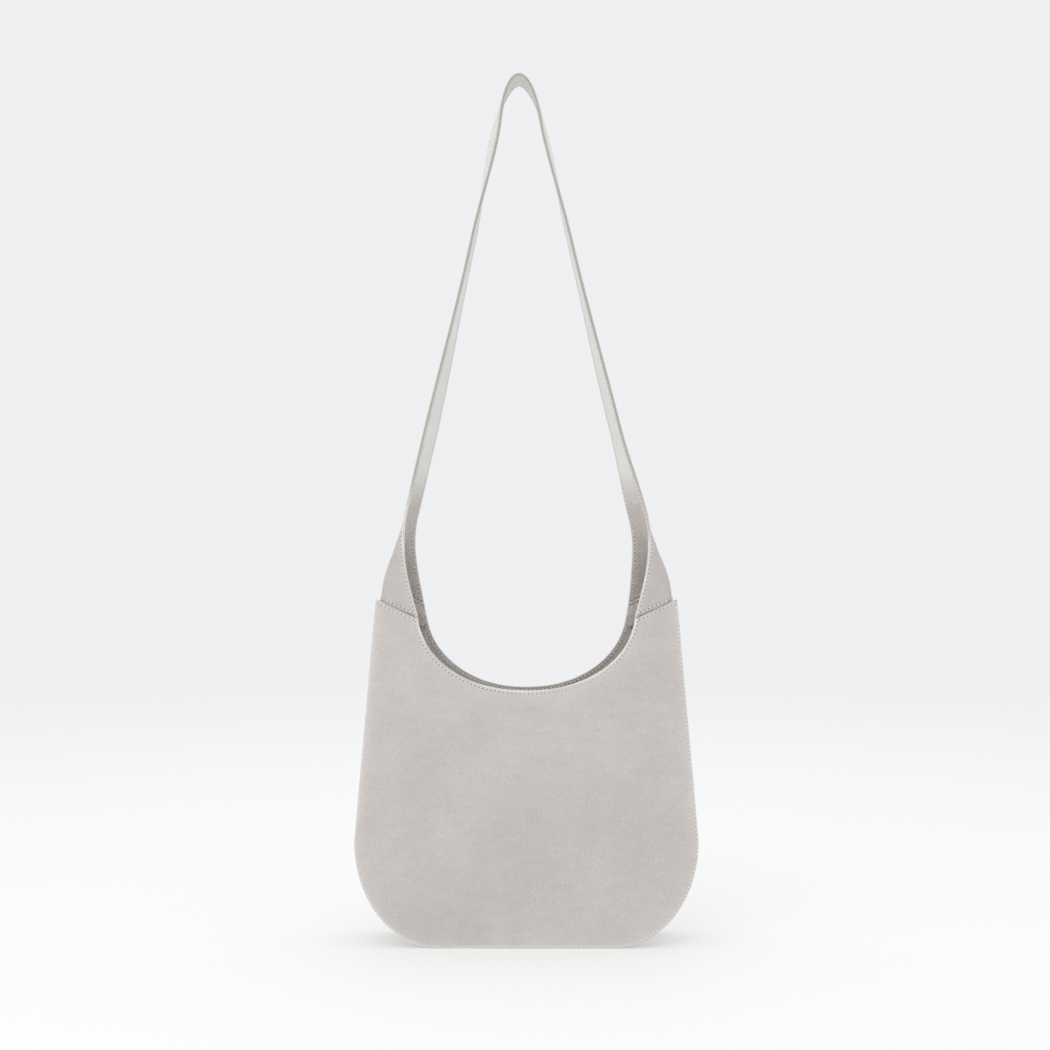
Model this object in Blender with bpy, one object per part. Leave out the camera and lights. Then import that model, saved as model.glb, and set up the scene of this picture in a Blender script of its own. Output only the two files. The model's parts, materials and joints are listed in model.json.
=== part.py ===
"""Crossbody hobo bag in pale suede: two panels and a gusset, lined, with a long wide shoulder strap.

The strap is one band that flares at each end into a folded yoke, sewn to the body along a slanting
shoulder seam. Metres, +Z up. The front faces -Y, the origin is the middle of the base on the floor.
"""

import math

import bmesh
import bpy
from mathutils import Matrix, Vector

FRONT = -1
BACK = 1
LEFT = -1
RIGHT = 1

# Leather, lining and the clearance between two pieces that touch
LEATHER = 0.0014
STRAP_LINING = 0.0012
BAG_LINING = 0.0008
CLEARANCE = 0.0003

# Body outline, seen from the front
BODY_HALF_WIDTH = 0.155
BASE_HALF_WIDTH = 0.078
CORNER_RISE = 0.095
SHOULDER_HALF_WIDTH = 0.136
SHOULDER_HEIGHT = 0.313
SEAM_DROP = 0.017

# Mouth: the U-shaped rim between the two shoulder seams
RIM_HEIGHT = 0.230
MOUTH_HALF_WIDTH = {FRONT: 0.0985, BACK: 0.093}
MOUTH_CURVE_RISE = 0.075
MOUTH_CURVE_POWER = 2.1

# Body depth: outside of a panel to the bag's middle plane
BASE_HALF_DEPTH = 0.0325
SHOULDER_HALF_DEPTH = 0.025
PANEL_BULGE = 0.002
PANEL_FLAT_HALF_WIDTH = 0.085
MOUTH_PINCH = 0.0095
MOUTH_PINCH_START = 0.155
MOUTH_PINCH_EASE = 1.3

# Gusset: a web with a flange sewn to each panel
FLANGE = 0.004
GUSSET_HOLLOW = 0.0015
GUSSET_HOLLOW_SPAN = 0.4
BOARD_THICKNESS = 0.0012
BOARD_HALF_LENGTH = 0.072

# Room between a panel and its lining, away from the seams
LINING_ROOM = 0.0028
RIM_FADE = 0.018
EDGE_FADE = 0.022

# Yoke: from the shoulder seam to the flat strap; one side's strap hangs a little further in
YOKE_TOP = 0.385
YOKE_ROOT_X = {LEFT: 0.109, RIGHT: 0.1055}
YOKE_WEB_RISES = (0.28, 0.62)
YOKE_WEB_LEAN = 0.55
YOKE_EDGE_RISES = (0.12, 0.50)
YOKE_EDGE_FLARES = (0.006, 0.0005)
YOKE_FOLD_RADIUS = 0.006
YOKE_FOLD_SPREAD = 3.0
YOKE_FOLD_SHARE = 0.40
YOKE_TAB = 0.010
YOKE_TAB_DEPTH = 0.0035
YOKE_STEP_HEIGHT = 0.010

# Strap
STRAP_WIDTH = 0.038
STRAP_TOP = 0.792
STRAP_NECK_X = 0.0232
STRAP_NECK_HEIGHT = STRAP_TOP - 0.044
STRAP_LEAN = -0.0068
LEG_HANDLE = 0.120
LEG_ROOT_LEAN = 0.0305
LEG_NECK_LEAN = 0.026
NECK_HANDLE = (0.0044, 0.022)
TOP_HANDLE = 0.0105
STRAP_HINGE_HEIGHT = YOKE_TOP + 0.027
STRAP_BEND_HALF = 0.027
# How far the front edge turns outwards, in degrees, at each height
STRAP_TWIST = {
    LEFT: (
        (YOKE_TOP, 13.0), (YOKE_TOP + 0.065, 13.0),
        (STRAP_TOP - 0.152, 1.0), (STRAP_TOP - 0.057, -12.0), (STRAP_TOP, 0.0),
    ),
    RIGHT: (
        (YOKE_TOP, 22.0), (YOKE_TOP + 0.085, 10.0),
        (STRAP_TOP - 0.152, 1.0), (STRAP_TOP - 0.057, -8.0), (STRAP_TOP, 0.0),
    ),
}

# Magnetic snap, one half on each lining
SNAP_DROP = 0.035
SNAP_RADIUS = 0.009
SNAP_THICKNESS = 0.0022
SNAP_BOSS_RADIUS = 0.0032
SNAP_BOSS_HEIGHT = 0.0014
SNAP_SHANK_RADIUS = 0.0018
SNAP_STANDOFF = 0.0003
SNAP_ROUNDING = 0.0004
WASHER_RADIUS = 0.0075
WASHER_THICKNESS = 0.0006

# Zip pocket on the back lining
ZIP_HEIGHT = 0.130
ZIP_HALF_LENGTH = 0.075
ZIP_SLOT_HALF = 0.0042
WELT_BORDER = 0.008
WELT_THICKNESS = 0.001
TAPE_WIDTH = 0.012
TAPE_THICKNESS = 0.0005
COIL_SIZE = 0.0014
COIL_GAP = 0.0016
SLIDER_HALF_LENGTH = 0.0045
SLIDER_HALF_WIDTH = 0.0034
SLIDER_PLATE = 0.0008
SLIDER_EAR_HALF_LENGTH = 0.0011
SLIDER_EAR_THICKNESS = 0.0008
UNION_OVERLAP = 0.0001
SLIDER_START = 0.064
STOP_LENGTH = 0.0025
PULL_BAR_RADIUS = 0.0006
PULL_EYE_RADIUS = 0.0010
PULL_RIM = 0.0008
PULL_LENGTH = 0.022
PULL_HALF_WIDTH = 0.0016
PULL_HALF_THICKNESS = 0.0005
PULL_STEPS = 16
POCKET_HALF_WIDTH = 0.085
POCKET_FLOOR = 0.035
POCKET_CLOTH = 0.0003
POCKET_ROWS = 5
POCKET_COLUMNS = 8

# Fineness of the faceted surfaces
BASE_STEPS = 3
CORNER_STEPS = 9
SIDE_STEPS = 5
PANEL_ROWS = 9
YOKE_LEVELS = 8
BEND_STEPS = 5
LEG_STEPS = 24
NECK_STEPS = 11
STRAP_COLUMNS = (0.5, 0.25, 0.0, -0.25, -0.5)
ROUND_STEPS = 20
SHARP_ANGLE = math.radians(35)


def smoothstep(value):
    value = min(max(value, 0.0), 1.0)
    return value * value * (3.0 - 2.0 * value)


def mix(low, high, share):
    return low + (high - low) * share


def bezier(points, t):
    """Point on the cubic Bezier curve with these four control points."""
    s = 1.0 - t
    weights = (s ** 3, 3 * s * s * t, 3 * s * t * t, t ** 3)
    return tuple(sum(w * p[k] for w, p in zip(weights, points)) for k in range(2))


def along(points, shares):
    """Points at these shares of a polyline's length."""
    lengths = [0.0]
    for before, after in zip(points, points[1:]):
        lengths.append(lengths[-1] + math.dist(before, after))
    found = []
    index = 0
    for share in shares:
        target = share * lengths[-1]
        while index < len(points) - 2 and lengths[index + 1] < target:
            index += 1
        part = (target - lengths[index]) / (lengths[index + 1] - lengths[index])
        found.append(tuple(mix(p, q, part) for p, q in zip(points[index], points[index + 1])))
    return found


# ---------------------------------------------------------------- body surfaces


def seam_height(x):
    """Height of the shoulder seam, which falls from the outer corner towards the mouth."""
    share = (SHOULDER_HALF_WIDTH - abs(x)) / (SHOULDER_HALF_WIDTH - MOUTH_HALF_WIDTH[FRONT])
    return SHOULDER_HEIGHT - SEAM_DROP * share


def half_outline():
    """Right half of the body's outline from the middle of the base to the shoulder, with normals."""
    points = []
    for step in range(BASE_STEPS):
        points.append(((BASE_HALF_WIDTH * step / BASE_STEPS, 0.0), (0.0, -1.0)))
    across = BODY_HALF_WIDTH - BASE_HALF_WIDTH
    for step in range(CORNER_STEPS):
        angle = math.pi / 2 * step / CORNER_STEPS
        place = (BASE_HALF_WIDTH + across * math.sin(angle), CORNER_RISE * (1 - math.cos(angle)))
        normal = Vector((CORNER_RISE * math.sin(angle), -across * math.cos(angle))).normalized()
        points.append((place, tuple(normal)))
    lean = Vector((SHOULDER_HEIGHT - CORNER_RISE, BODY_HALF_WIDTH - SHOULDER_HALF_WIDTH)).normalized()
    for step in range(SIDE_STEPS + 1):
        share = step / SIDE_STEPS
        place = (
            mix(BODY_HALF_WIDTH, SHOULDER_HALF_WIDTH, share),
            mix(CORNER_RISE, SHOULDER_HEIGHT, share),
        )
        points.append((place, tuple(lean)))
    return points


def inset_outline(inset):
    """The whole outline moved in by this much, from the left shoulder round the base to the right."""
    half = []
    for (x, z), (nx, nz) in half_outline():
        half.append((x - inset * nx, z - inset * nz))
    x, z = half[-1]
    half[-1] = (x, seam_height(x))
    return [(-x, z) for x, z in reversed(half[1:])] + half


def outline_half_width(z):
    """Half the body's width at this height."""
    if z >= CORNER_RISE:
        share = (z - CORNER_RISE) / (SHOULDER_HEIGHT - CORNER_RISE)
        return mix(BODY_HALF_WIDTH, SHOULDER_HALF_WIDTH, min(share, 1.0))
    drop = 1.0 - max(z, 0.0) / CORNER_RISE
    return BASE_HALF_WIDTH + (BODY_HALF_WIDTH - BASE_HALF_WIDTH) * math.sqrt(1.0 - drop * drop)


def rim_scale(side):
    """Half-width at which a rim's curve would stand upright."""
    half = MOUTH_HALF_WIDTH[side]
    drop = (RIM_HEIGHT + MOUTH_CURVE_RISE - seam_height(half)) / MOUTH_CURVE_RISE
    return half / (1.0 - drop ** MOUTH_CURVE_POWER) ** (1.0 / MOUTH_CURVE_POWER)


def rim_curve(side, count=160):
    """A panel's rim from the left seam to the right, as a fine polyline."""
    scale = rim_scale(side)
    half = []
    for step in range(count + 1):
        x = MOUTH_HALF_WIDTH[side] * math.sin(math.pi / 2 * step / count)
        fall = (1.0 - (x / scale) ** MOUTH_CURVE_POWER) ** (1.0 / MOUTH_CURVE_POWER)
        half.append((x, RIM_HEIGHT + MOUTH_CURVE_RISE * (1.0 - fall)))
    return [(-x, z) for x, z in reversed(half[1:])] + half


def half_depth(x, z):
    """Distance of a panel's outer face from the bag's middle plane."""
    edge = mix(BASE_HALF_DEPTH, SHOULDER_HALF_DEPTH, min(max(z, 0.0) / SHOULDER_HEIGHT, 1.0))
    fall = (abs(x) - PANEL_FLAT_HALF_WIDTH) / (BODY_HALF_WIDTH - PANEL_FLAT_HALF_WIDTH)
    bulge = PANEL_BULGE * (1.0 - smoothstep(fall)) * math.sin(math.pi * min(z / SHOULDER_HEIGHT, 1.0))
    inner = max(0.0, 1.0 - (x / MOUTH_HALF_WIDTH[FRONT]) ** 2) ** 1.5
    climb = max(0.0, (z - MOUTH_PINCH_START) / (RIM_HEIGHT - MOUTH_PINCH_START))
    return edge + bulge - MOUTH_PINCH * inner * min(climb, 1.0) ** MOUTH_PINCH_EASE


def lining_depth(x, z, side):
    """Depth of a lining's outer face below the panel's outer face."""
    drop = abs(RIM_HEIGHT + MOUTH_CURVE_RISE - z) / MOUTH_CURVE_RISE
    reach = (abs(x) / rim_scale(side)) ** MOUTH_CURVE_POWER + drop ** MOUTH_CURVE_POWER
    from_rim = (reach ** (1.0 / MOUTH_CURVE_POWER) - 1.0) * MOUTH_CURVE_RISE
    from_edge = min(z, outline_half_width(z) - abs(x))
    from_tab = seam_height(x) - YOKE_TAB - z
    room = LINING_ROOM * smoothstep(from_rim / RIM_FADE) * smoothstep(from_edge / EDGE_FADE)
    return LEATHER + CLEARANCE + room * smoothstep(from_tab / EDGE_FADE)


def on_panel(x, z, depth, side):
    """Point this deep below the outer face of the front or back panel."""
    return Vector((x, side * (half_depth(x, z) - depth), z))


def lining_frame(x, z, side):
    """Local axes on a lining's inner face: X level, Y up the face and Z into the bag."""
    reach = 0.002

    def face(height):
        return on_panel(x, height, lining_depth(x, height, side) + BAG_LINING, side)

    up = (face(z + reach) - face(z - reach)).normalized()
    level = Vector((side, 0.0, 0.0))
    inward = level.cross(up)
    axes = Matrix((level, up, inward)).transposed().to_4x4()
    return Matrix.Translation(face(z)) @ axes


# ---------------------------------------------------------------- making objects


def material(name, colour, roughness, metallic=0.0):
    made = bpy.data.materials.new(name)
    made.use_nodes = True
    shader = made.node_tree.nodes["Principled BSDF"]
    shader.inputs["Base Color"].default_value = (*colour, 1.0)
    shader.inputs["Roughness"].default_value = roughness
    shader.inputs["Metallic"].default_value = metallic
    made.diffuse_color = (*colour, 1.0)
    return made


def make_object(name, mesh_builder, look):
    """Turn a finished bmesh into a named object with its own material."""
    bmesh.ops.recalc_face_normals(mesh_builder, faces=mesh_builder.faces)
    mesh = bpy.data.meshes.new(name)
    mesh_builder.to_mesh(mesh)
    mesh_builder.free()
    colour, roughness, metallic = look
    mesh.materials.append(material(name, colour, roughness, metallic))
    mesh.shade_smooth()
    mesh.set_sharp_from_angle(angle=SHARP_ANGLE)
    obj = bpy.data.objects.new(name, mesh)
    bpy.context.scene.collection.objects.link(obj)
    return obj


def thick_sheet(name, outer, inner, look):
    """Closed sheet between two grids of points, given as rows of equal length."""
    builder = bmesh.new()
    skins = []
    for grid in (outer, inner):
        skins.append([[builder.verts.new(point) for point in row] for row in grid])
    rows = len(outer)
    columns = len(outer[0])
    for skin in skins:
        for i in range(rows - 1):
            for j in range(columns - 1):
                builder.faces.new((skin[i][j], skin[i][j + 1], skin[i + 1][j + 1], skin[i + 1][j]))
    border = [(0, j) for j in range(columns - 1)] + [(i, columns - 1) for i in range(rows - 1)]
    border += [(rows - 1, j) for j in range(columns - 1, 0, -1)] + [(i, 0) for i in range(rows - 1, 0, -1)]
    for (i, j), (k, m) in zip(border, border[1:] + border[:1]):
        builder.faces.new((skins[0][i][j], skins[0][k][m], skins[1][k][m], skins[1][i][j]))
    return make_object(name, builder, look)


def loft(name, sections, look):
    """Closed solid through closed sections that have the same number of points."""
    builder = bmesh.new()
    rings = [[builder.verts.new(point) for point in section] for section in sections]
    for ring, following in zip(rings, rings[1:]):
        for k in range(len(ring)):
            after = (k + 1) % len(ring)
            builder.faces.new((ring[k], ring[after], following[after], following[k]))
    builder.faces.new(rings[0])
    builder.faces.new(rings[-1])
    return make_object(name, builder, look)


def turned(name, profile, frame, look):
    """Solid turned about the frame's Z axis from (radius, height) points; a bored one is a closed ring."""
    builder = bmesh.new()
    bored = min(radius for radius, _ in profile) > 0.0
    rings = []
    for radius, height in profile:
        if radius == 0.0:
            rings.append([builder.verts.new(frame @ Vector((0.0, 0.0, height)))])
            continue
        ring = []
        for step in range(ROUND_STEPS):
            angle = 2 * math.pi * step / ROUND_STEPS
            spot = Vector((radius * math.cos(angle), radius * math.sin(angle), height))
            ring.append(builder.verts.new(frame @ spot))
        rings.append(ring)
    pairs = list(zip(rings, rings[1:]))
    if bored:
        pairs.append((rings[-1], rings[0]))
    for ring, following in pairs:
        for k in range(ROUND_STEPS):
            after = (k + 1) % ROUND_STEPS
            size = len(ring)
            other = len(following)
            corners = (ring[k % size], ring[after % size], following[after % other], following[k % other])
            builder.faces.new(dict.fromkeys(corners))
    return make_object(name, builder, look)


def add_block(builder, frame, low, high):
    """Box between two corners of a local frame."""
    centre = (Vector(low) + Vector(high)) / 2
    size = Vector(high) - Vector(low)
    place = frame @ Matrix.Translation(centre) @ Matrix.Diagonal((*size, 1.0))
    bmesh.ops.create_cube(builder, size=1.0, matrix=place)


def block(name, frame, low, high, look):
    builder = bmesh.new()
    add_block(builder, frame, low, high)
    return make_object(name, builder, look)


def cutter(name, builder):
    """Guide shape for a Boolean: it shows as wire and is no part of the bag."""
    obj = make_object(name, builder, METAL)
    obj.hide_render = True
    obj.display_type = "WIRE"
    return obj


def boolean(obj, tool, operation="DIFFERENCE"):
    modifier = obj.modifiers.new(tool.name, "BOOLEAN")
    modifier.operation = operation
    modifier.solver = "EXACT"
    modifier.object = tool


def hang_on(obj, anchor):
    """Give a moving piece its origin at the anchor, without moving it."""
    offset = anchor.matrix_world.inverted()
    obj.data.transform(offset)
    obj.parent = anchor


def joint_empty(name, place, parent=None):
    """Empty on a joint's axis."""
    empty = bpy.data.objects.new(name, None)
    empty.empty_display_size = 0.02
    bpy.context.scene.collection.objects.link(empty)
    if parent is None:
        empty.location = place
    else:
        empty.parent = parent
        empty.location = Vector(place) - parent.matrix_world.translation
    bpy.context.view_layer.update()
    return empty


# ---------------------------------------------------------------- looks: colour, roughness, metallic

SUEDE = ((0.58, 0.55, 0.52), 0.9, 0.0)
SUEDE_LINING = ((0.46, 0.43, 0.41), 0.92, 0.0)
STRAP_SUEDE = ((0.66, 0.64, 0.61), 0.9, 0.0)
COTTON = ((0.42, 0.40, 0.38), 0.95, 0.0)
BOARD = ((0.30, 0.28, 0.25), 0.8, 0.0)
TAPE = ((0.50, 0.47, 0.45), 0.85, 0.0)
COIL = ((0.45, 0.43, 0.41), 0.45, 0.0)
METAL = ((0.72, 0.70, 0.66), 0.3, 1.0)


# ---------------------------------------------------------------- body


def patch(inset, side):
    """Flat grid of (x, z) points from the inset outline up to a panel's rim."""
    lower = inset_outline(inset)
    lengths = [0.0]
    for before, after in zip(lower, lower[1:]):
        lengths.append(lengths[-1] + math.dist(before, after))
    upper = along(rim_curve(side), [length / lengths[-1] for length in lengths])
    rows = []
    for row in range(PANEL_ROWS + 1):
        share = row / PANEL_ROWS
        rows.append([(mix(a[0], b[0], share), mix(a[1], b[1], share)) for a, b in zip(lower, upper)])
    return rows


def panel(name, side):
    grid = patch(0.0, side)
    outer = [[on_panel(x, z, 0.0, side) for x, z in row] for row in grid]
    inner = [[on_panel(x, z, LEATHER, side) for x, z in row] for row in grid]
    thick_sheet(name, outer, inner, SUEDE)


def lining(name, side):
    grid = patch(FLANGE + LEATHER + CLEARANCE, side)
    outer = []
    inner = []
    for row in grid:
        depths = [lining_depth(x, z, side) for x, z in row]
        outer.append([on_panel(x, z, depth, side) for (x, z), depth in zip(row, depths)])
        inner.append([on_panel(x, z, depth + BAG_LINING, side) for (x, z), depth in zip(row, depths)])
    return thick_sheet(name, outer, inner, SUEDE_LINING)


def swept_stations(start):
    """Places and normals along the right half of the outline, beginning this far from the middle."""
    stations = half_outline()
    (_, z), normal = stations[0]
    stations[0] = ((start, z), normal)
    return stations


def hollow_at(z):
    """How far the web's middle is drawn in; it is straight at the shoulder, where the yoke takes over."""
    return GUSSET_HOLLOW * (1.0 - smoothstep((z - CORNER_RISE) / (SHOULDER_HEIGHT - YOKE_TAB - CORNER_RISE)))


def gusset_plane(station, out, top):
    """Place in (x, z) this far out from the web's outer face; the top station lies on the shoulder seam."""
    (x, z), (nx, nz) = station
    px = x + (out - FLANGE) * nx
    pz = seam_height(px) if top else z + (out - FLANGE) * nz
    return px, pz


def gusset(name, end):
    """Half of the gusset: a web between the panels, with a flange turned out against each of them."""
    face = LEATHER + CLEARANCE
    deep = face + LEATHER
    span = GUSSET_HOLLOW_SPAN
    sections = []
    stations = swept_stations(CLEARANCE / 2)
    for index, station in enumerate(stations):
        hollow = hollow_at(station[0][1])
        # Each corner: how far out, its share of the half depth, and its depth below the panel there
        corners = (
            (FLANGE, -1.0, face), (FLANGE, -1.0, deep), (0.0, -1.0, deep),
            (-hollow, -span, 0.0), (-hollow, span, 0.0),
            (0.0, 1.0, deep), (FLANGE, 1.0, deep), (FLANGE, 1.0, face), (-LEATHER, 1.0, face),
            (-hollow - LEATHER, span, 0.0), (-hollow - LEATHER, -span, 0.0),
            (-LEATHER, -1.0, face),
        )
        section = []
        for out, share, depth in corners:
            px, pz = gusset_plane(station, out, index == len(stations) - 1)
            section.append(Vector((end * px, share * half_depth(px, pz) - math.copysign(depth, share), pz)))
        sections.append(section)
    loft(name, sections, SUEDE)


def gusset_lining_depth(z):
    """How far the gusset's lining lies inside the web: deeper on the base, where the board is."""
    over_board = CLEARANCE + BOARD_THICKNESS + CLEARANCE
    beside = CLEARANCE
    return LEATHER + hollow_at(z) + mix(over_board, beside, smoothstep(z / CORNER_RISE))


def gusset_lining(name, end):
    sections = []
    stations = swept_stations(CLEARANCE / 2)
    for index, station in enumerate(stations):
        near = gusset_lining_depth(station[0][1])
        far = near + BAG_LINING
        section = []
        for depth, side in ((near, FRONT), (near, BACK), (far, BACK), (far, FRONT)):
            px, pz = gusset_plane(station, -depth, index == len(stations) - 1)
            width = half_depth(px, pz) - lining_depth(px, pz, side) - BAG_LINING - CLEARANCE
            section.append(Vector((end * px, side * width, pz)))
        sections.append(section)
    loft(name, sections, SUEDE_LINING)


def base_board():
    """Stiffener on the base web, under the lining."""
    low = FLANGE + GUSSET_HOLLOW + LEATHER + CLEARANCE
    high = low + BOARD_THICKNESS
    width = half_depth(0.0, low) - lining_depth(0.0, high, FRONT) - BAG_LINING - CLEARANCE
    ends = (-BOARD_HALF_LENGTH, -width, low), (BOARD_HALF_LENGTH, width, high)
    block("base_board", Matrix.Identity(4), *ends, BOARD)


# ---------------------------------------------------------------- yoke and strap


def twist_at(z, end):
    """Angle by which the strap's front edge turns outwards at this height, in radians."""
    table = STRAP_TWIST[end]
    if z <= table[0][0]:
        return math.radians(table[0][1])
    for (low, first), (high, second) in zip(table, table[1:]):
        if z <= high:
            return math.radians(mix(first, second, smoothstep((z - low) / (high - low))))
    return math.radians(table[-1][1])


def yoke_height(share):
    return mix(SHOULDER_HEIGHT, YOKE_TOP, share)


def yoke_web(end):
    """Side view of a yoke's outer web, as a Bezier curve in (x, z) for the right-hand side."""
    root = YOKE_ROOT_X[end]
    web_x = SHOULDER_HALF_WIDTH - FLANGE
    low, high = YOKE_WEB_RISES
    return (
        (web_x, seam_height(web_x)),
        (web_x, yoke_height(low)),
        (mix(web_x, root, YOKE_WEB_LEAN), yoke_height(high)),
        (root, YOKE_TOP),
    )


def yoke_edge(end, side):
    """Side view of the edge of a yoke's front or back wing."""
    root = YOKE_ROOT_X[end]
    mouth = MOUTH_HALF_WIDTH[side]
    low, high = YOKE_EDGE_RISES
    return (
        (mouth, seam_height(mouth)),
        (mouth + YOKE_EDGE_FLARES[0], yoke_height(low)),
        (root + YOKE_EDGE_FLARES[1], yoke_height(high)),
        (root, YOKE_TOP),
    )


def folded_half(corner, tip, radius, steps=4):
    """Half section in (x, y) from the web's middle round the fold to the wing's edge: points and turns."""
    corner = Vector(corner)
    tip = Vector(tip)
    wing = tip - corner
    wing_angle = math.atan2(-wing.x, -wing.y)
    reach = math.tan(wing_angle / 2)
    tangent = min(radius * reach, 0.8 * wing.length, 0.8 * abs(corner.y))
    radius = tangent / reach if wing_angle > 1e-4 else 0.0
    centre = Vector((corner.x - radius, corner.y + tangent))
    points = []
    for share in (0.0, 0.5):
        points.append((Vector((corner.x, share * centre.y)), 0.0))
    for step in range(steps + 1):
        angle = wing_angle * step / steps
        offset = Vector((math.cos(angle), -math.sin(angle))) * radius
        points.append((centre + offset, angle))
    last = points[-1][0]
    for share in (0.5, 1.0):
        points.append((last.lerp(tip, share), wing_angle))
    return points


def yoke_section(end, level, depth, drop=0.0):
    """A yoke's section at a level from 0 (seam) to 1 (strap), this deep below its outer face.

    It is given for the right-hand side, from the front wing's edge round the web to the back wing's.
    """
    web_x, web_z = bezier(yoke_web(end), level)
    edges = {side: bezier(yoke_edge(end, side), level) for side in (FRONT, BACK)}
    fade = smoothstep(level)
    seam_y = half_depth(web_x, SHOULDER_HEIGHT)
    fold_y = mix(seam_y, YOKE_FOLD_SHARE * STRAP_WIDTH, fade)
    edge_y = mix(seam_y, STRAP_WIDTH / 2, fade)
    radius = mix(YOKE_FOLD_RADIUS, YOKE_FOLD_SPREAD * YOKE_FOLD_RADIUS, level)
    turn = Matrix.Rotation(twist_at(YOKE_TOP, end) * fade, 2)
    pivot = Vector(((2 * web_x + edges[FRONT][0] + edges[BACK][0]) / 4, 0.0))
    points = []
    for side in (FRONT, BACK):
        edge_x, edge_z = edges[side]
        half = folded_half((web_x, -fold_y), (edge_x, -edge_y), radius)
        ordered = reversed(half) if side == FRONT else half[1:]
        for place, angle in ordered:
            inner = Vector((place.x - depth * math.cos(angle), -side * (place.y + depth * math.sin(angle))))
            spot = pivot + turn @ (inner - pivot)
            share = (place.x - edge_x) / (web_x - edge_x) if web_x - edge_x > 1e-5 else 0.0
            height = mix(edge_z, web_z, min(max(share, 0.0), 1.0)) if level > 0 else seam_height(spot.x)
            points.append(Vector((spot.x, spot.y, height - drop)))
    return points


def mirrored(points, end):
    return [Vector((end * p.x, p.y, p.z)) for p in points]


def yoke(name, end):
    outer = []
    inner = []
    for step in range(YOKE_LEVELS + 1):
        level = step / YOKE_LEVELS
        lift = -CLEARANCE if step == 0 else 0.0
        outer.append(mirrored(yoke_section(end, level, 0.0, lift), end))
        inner.append(mirrored(yoke_section(end, level, LEATHER, lift), end))
    thick_sheet(name, outer, inner, SUEDE)


def yoke_lining(name, end):
    """Lining of a yoke: it steps inwards at the seam and ends in a tab over the bag's own lining."""
    flush = LEATHER + CLEARANCE
    outer = []
    inner = []
    levels = [(0.0, YOKE_TAB, YOKE_TAB_DEPTH), (0.0, 0.3 * YOKE_TAB, YOKE_TAB_DEPTH)]
    for step in range(YOKE_LEVELS + 1):
        level = step / YOKE_LEVELS
        rise = level * (YOKE_TOP - SHOULDER_HEIGHT) / YOKE_STEP_HEIGHT
        levels.append((level, 0.0, mix(YOKE_TAB_DEPTH, flush, smoothstep(rise))))
    for level, drop, depth in levels:
        outer.append(mirrored(yoke_section(end, level, depth, drop), end))
        inner.append(mirrored(yoke_section(end, level, depth + STRAP_LINING, drop), end))
    thick_sheet(name, outer, inner, SUEDE_LINING)


def strap_leg(end):
    """Half of the strap's outer face in (x, z) for the right-hand side, from a yoke up to the top."""
    root = YOKE_ROOT_X[end]
    leg = (
        (root, YOKE_TOP),
        (root - LEG_ROOT_LEAN, YOKE_TOP + LEG_HANDLE),
        (STRAP_NECK_X + LEG_NECK_LEAN, STRAP_NECK_HEIGHT - LEG_HANDLE),
        (STRAP_NECK_X, STRAP_NECK_HEIGHT),
    )
    neck = (
        leg[3],
        (STRAP_NECK_X - NECK_HANDLE[0], STRAP_NECK_HEIGHT + NECK_HANDLE[1]),
        (TOP_HANDLE, STRAP_TOP),
        (0.0, STRAP_TOP),
    )
    bend_top = STRAP_HINGE_HEIGHT + STRAP_BEND_HALF
    fine = [bezier(leg, t / 200) for t in range(201)]
    bend = [p for p in fine if p[1] < bend_top]
    rest = [p for p in fine if p[1] > bend_top]
    share = (bend_top - bend[-1][1]) / (rest[0][1] - bend[-1][1])
    split = tuple(mix(a, b, share) for a, b in zip(bend[-1], rest[0]))
    bend = along(bend + [split], [k / BEND_STEPS for k in range(BEND_STEPS + 1)])
    rest = along([split] + rest, [k / LEG_STEPS for k in range(LEG_STEPS + 1)])
    top = [bezier(neck, k / NECK_STEPS) for k in range(NECK_STEPS + 1)]
    return bend + rest[1:] + top[1:]


def strap_path():
    """Outer face of the strap in (x, z, end), from the right yoke over the top to the left one."""
    whole = [(x, z, RIGHT) for x, z in strap_leg(RIGHT)]
    whole += [(-x, z, LEFT) for x, z in reversed(strap_leg(LEFT)[:-1])]
    span = STRAP_TOP - YOKE_TOP
    return [(x + STRAP_LEAN * (z - YOKE_TOP) / span, z, end) for x, z, end in whole]


def strap_band(name, first, last, depth, thickness, look):
    """Stretch of the strap between two stations of its path, as one layer of the band."""
    path = strap_path()
    sections = []
    for index in range(first, last + 1):
        before = path[max(index - 1, 0)]
        after = path[min(index + 1, len(path) - 1)]
        tangent = Vector((after[0] - before[0], 0.0, after[1] - before[1])).normalized()
        outward = Vector((tangent.z, 0.0, -tangent.x))
        place = Vector((path[index][0], 0.0, path[index][1]))
        if index == first:
            place += tangent * CLEARANCE
        if index == last:
            place -= tangent * CLEARANCE
        turn = twist_at(place.z, path[index][2])
        front = Vector((0.0, -math.cos(turn), 0.0)) + outward * math.sin(turn)
        face = outward * math.cos(turn) + Vector((0.0, math.sin(turn), 0.0))
        section = []
        for under, shares in ((depth, STRAP_COLUMNS), (depth + thickness, reversed(STRAP_COLUMNS))):
            for share in shares:
                section.append(place + front * (share * STRAP_WIDTH) - face * under)
        if index in (0, len(path) - 1):
            rest = YOKE_TOP + CLEARANCE
            section = [spot + tangent * ((rest - spot.z) / tangent.z) for spot in section]
        sections.append(section)
    return loft(name, sections, look)


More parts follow.
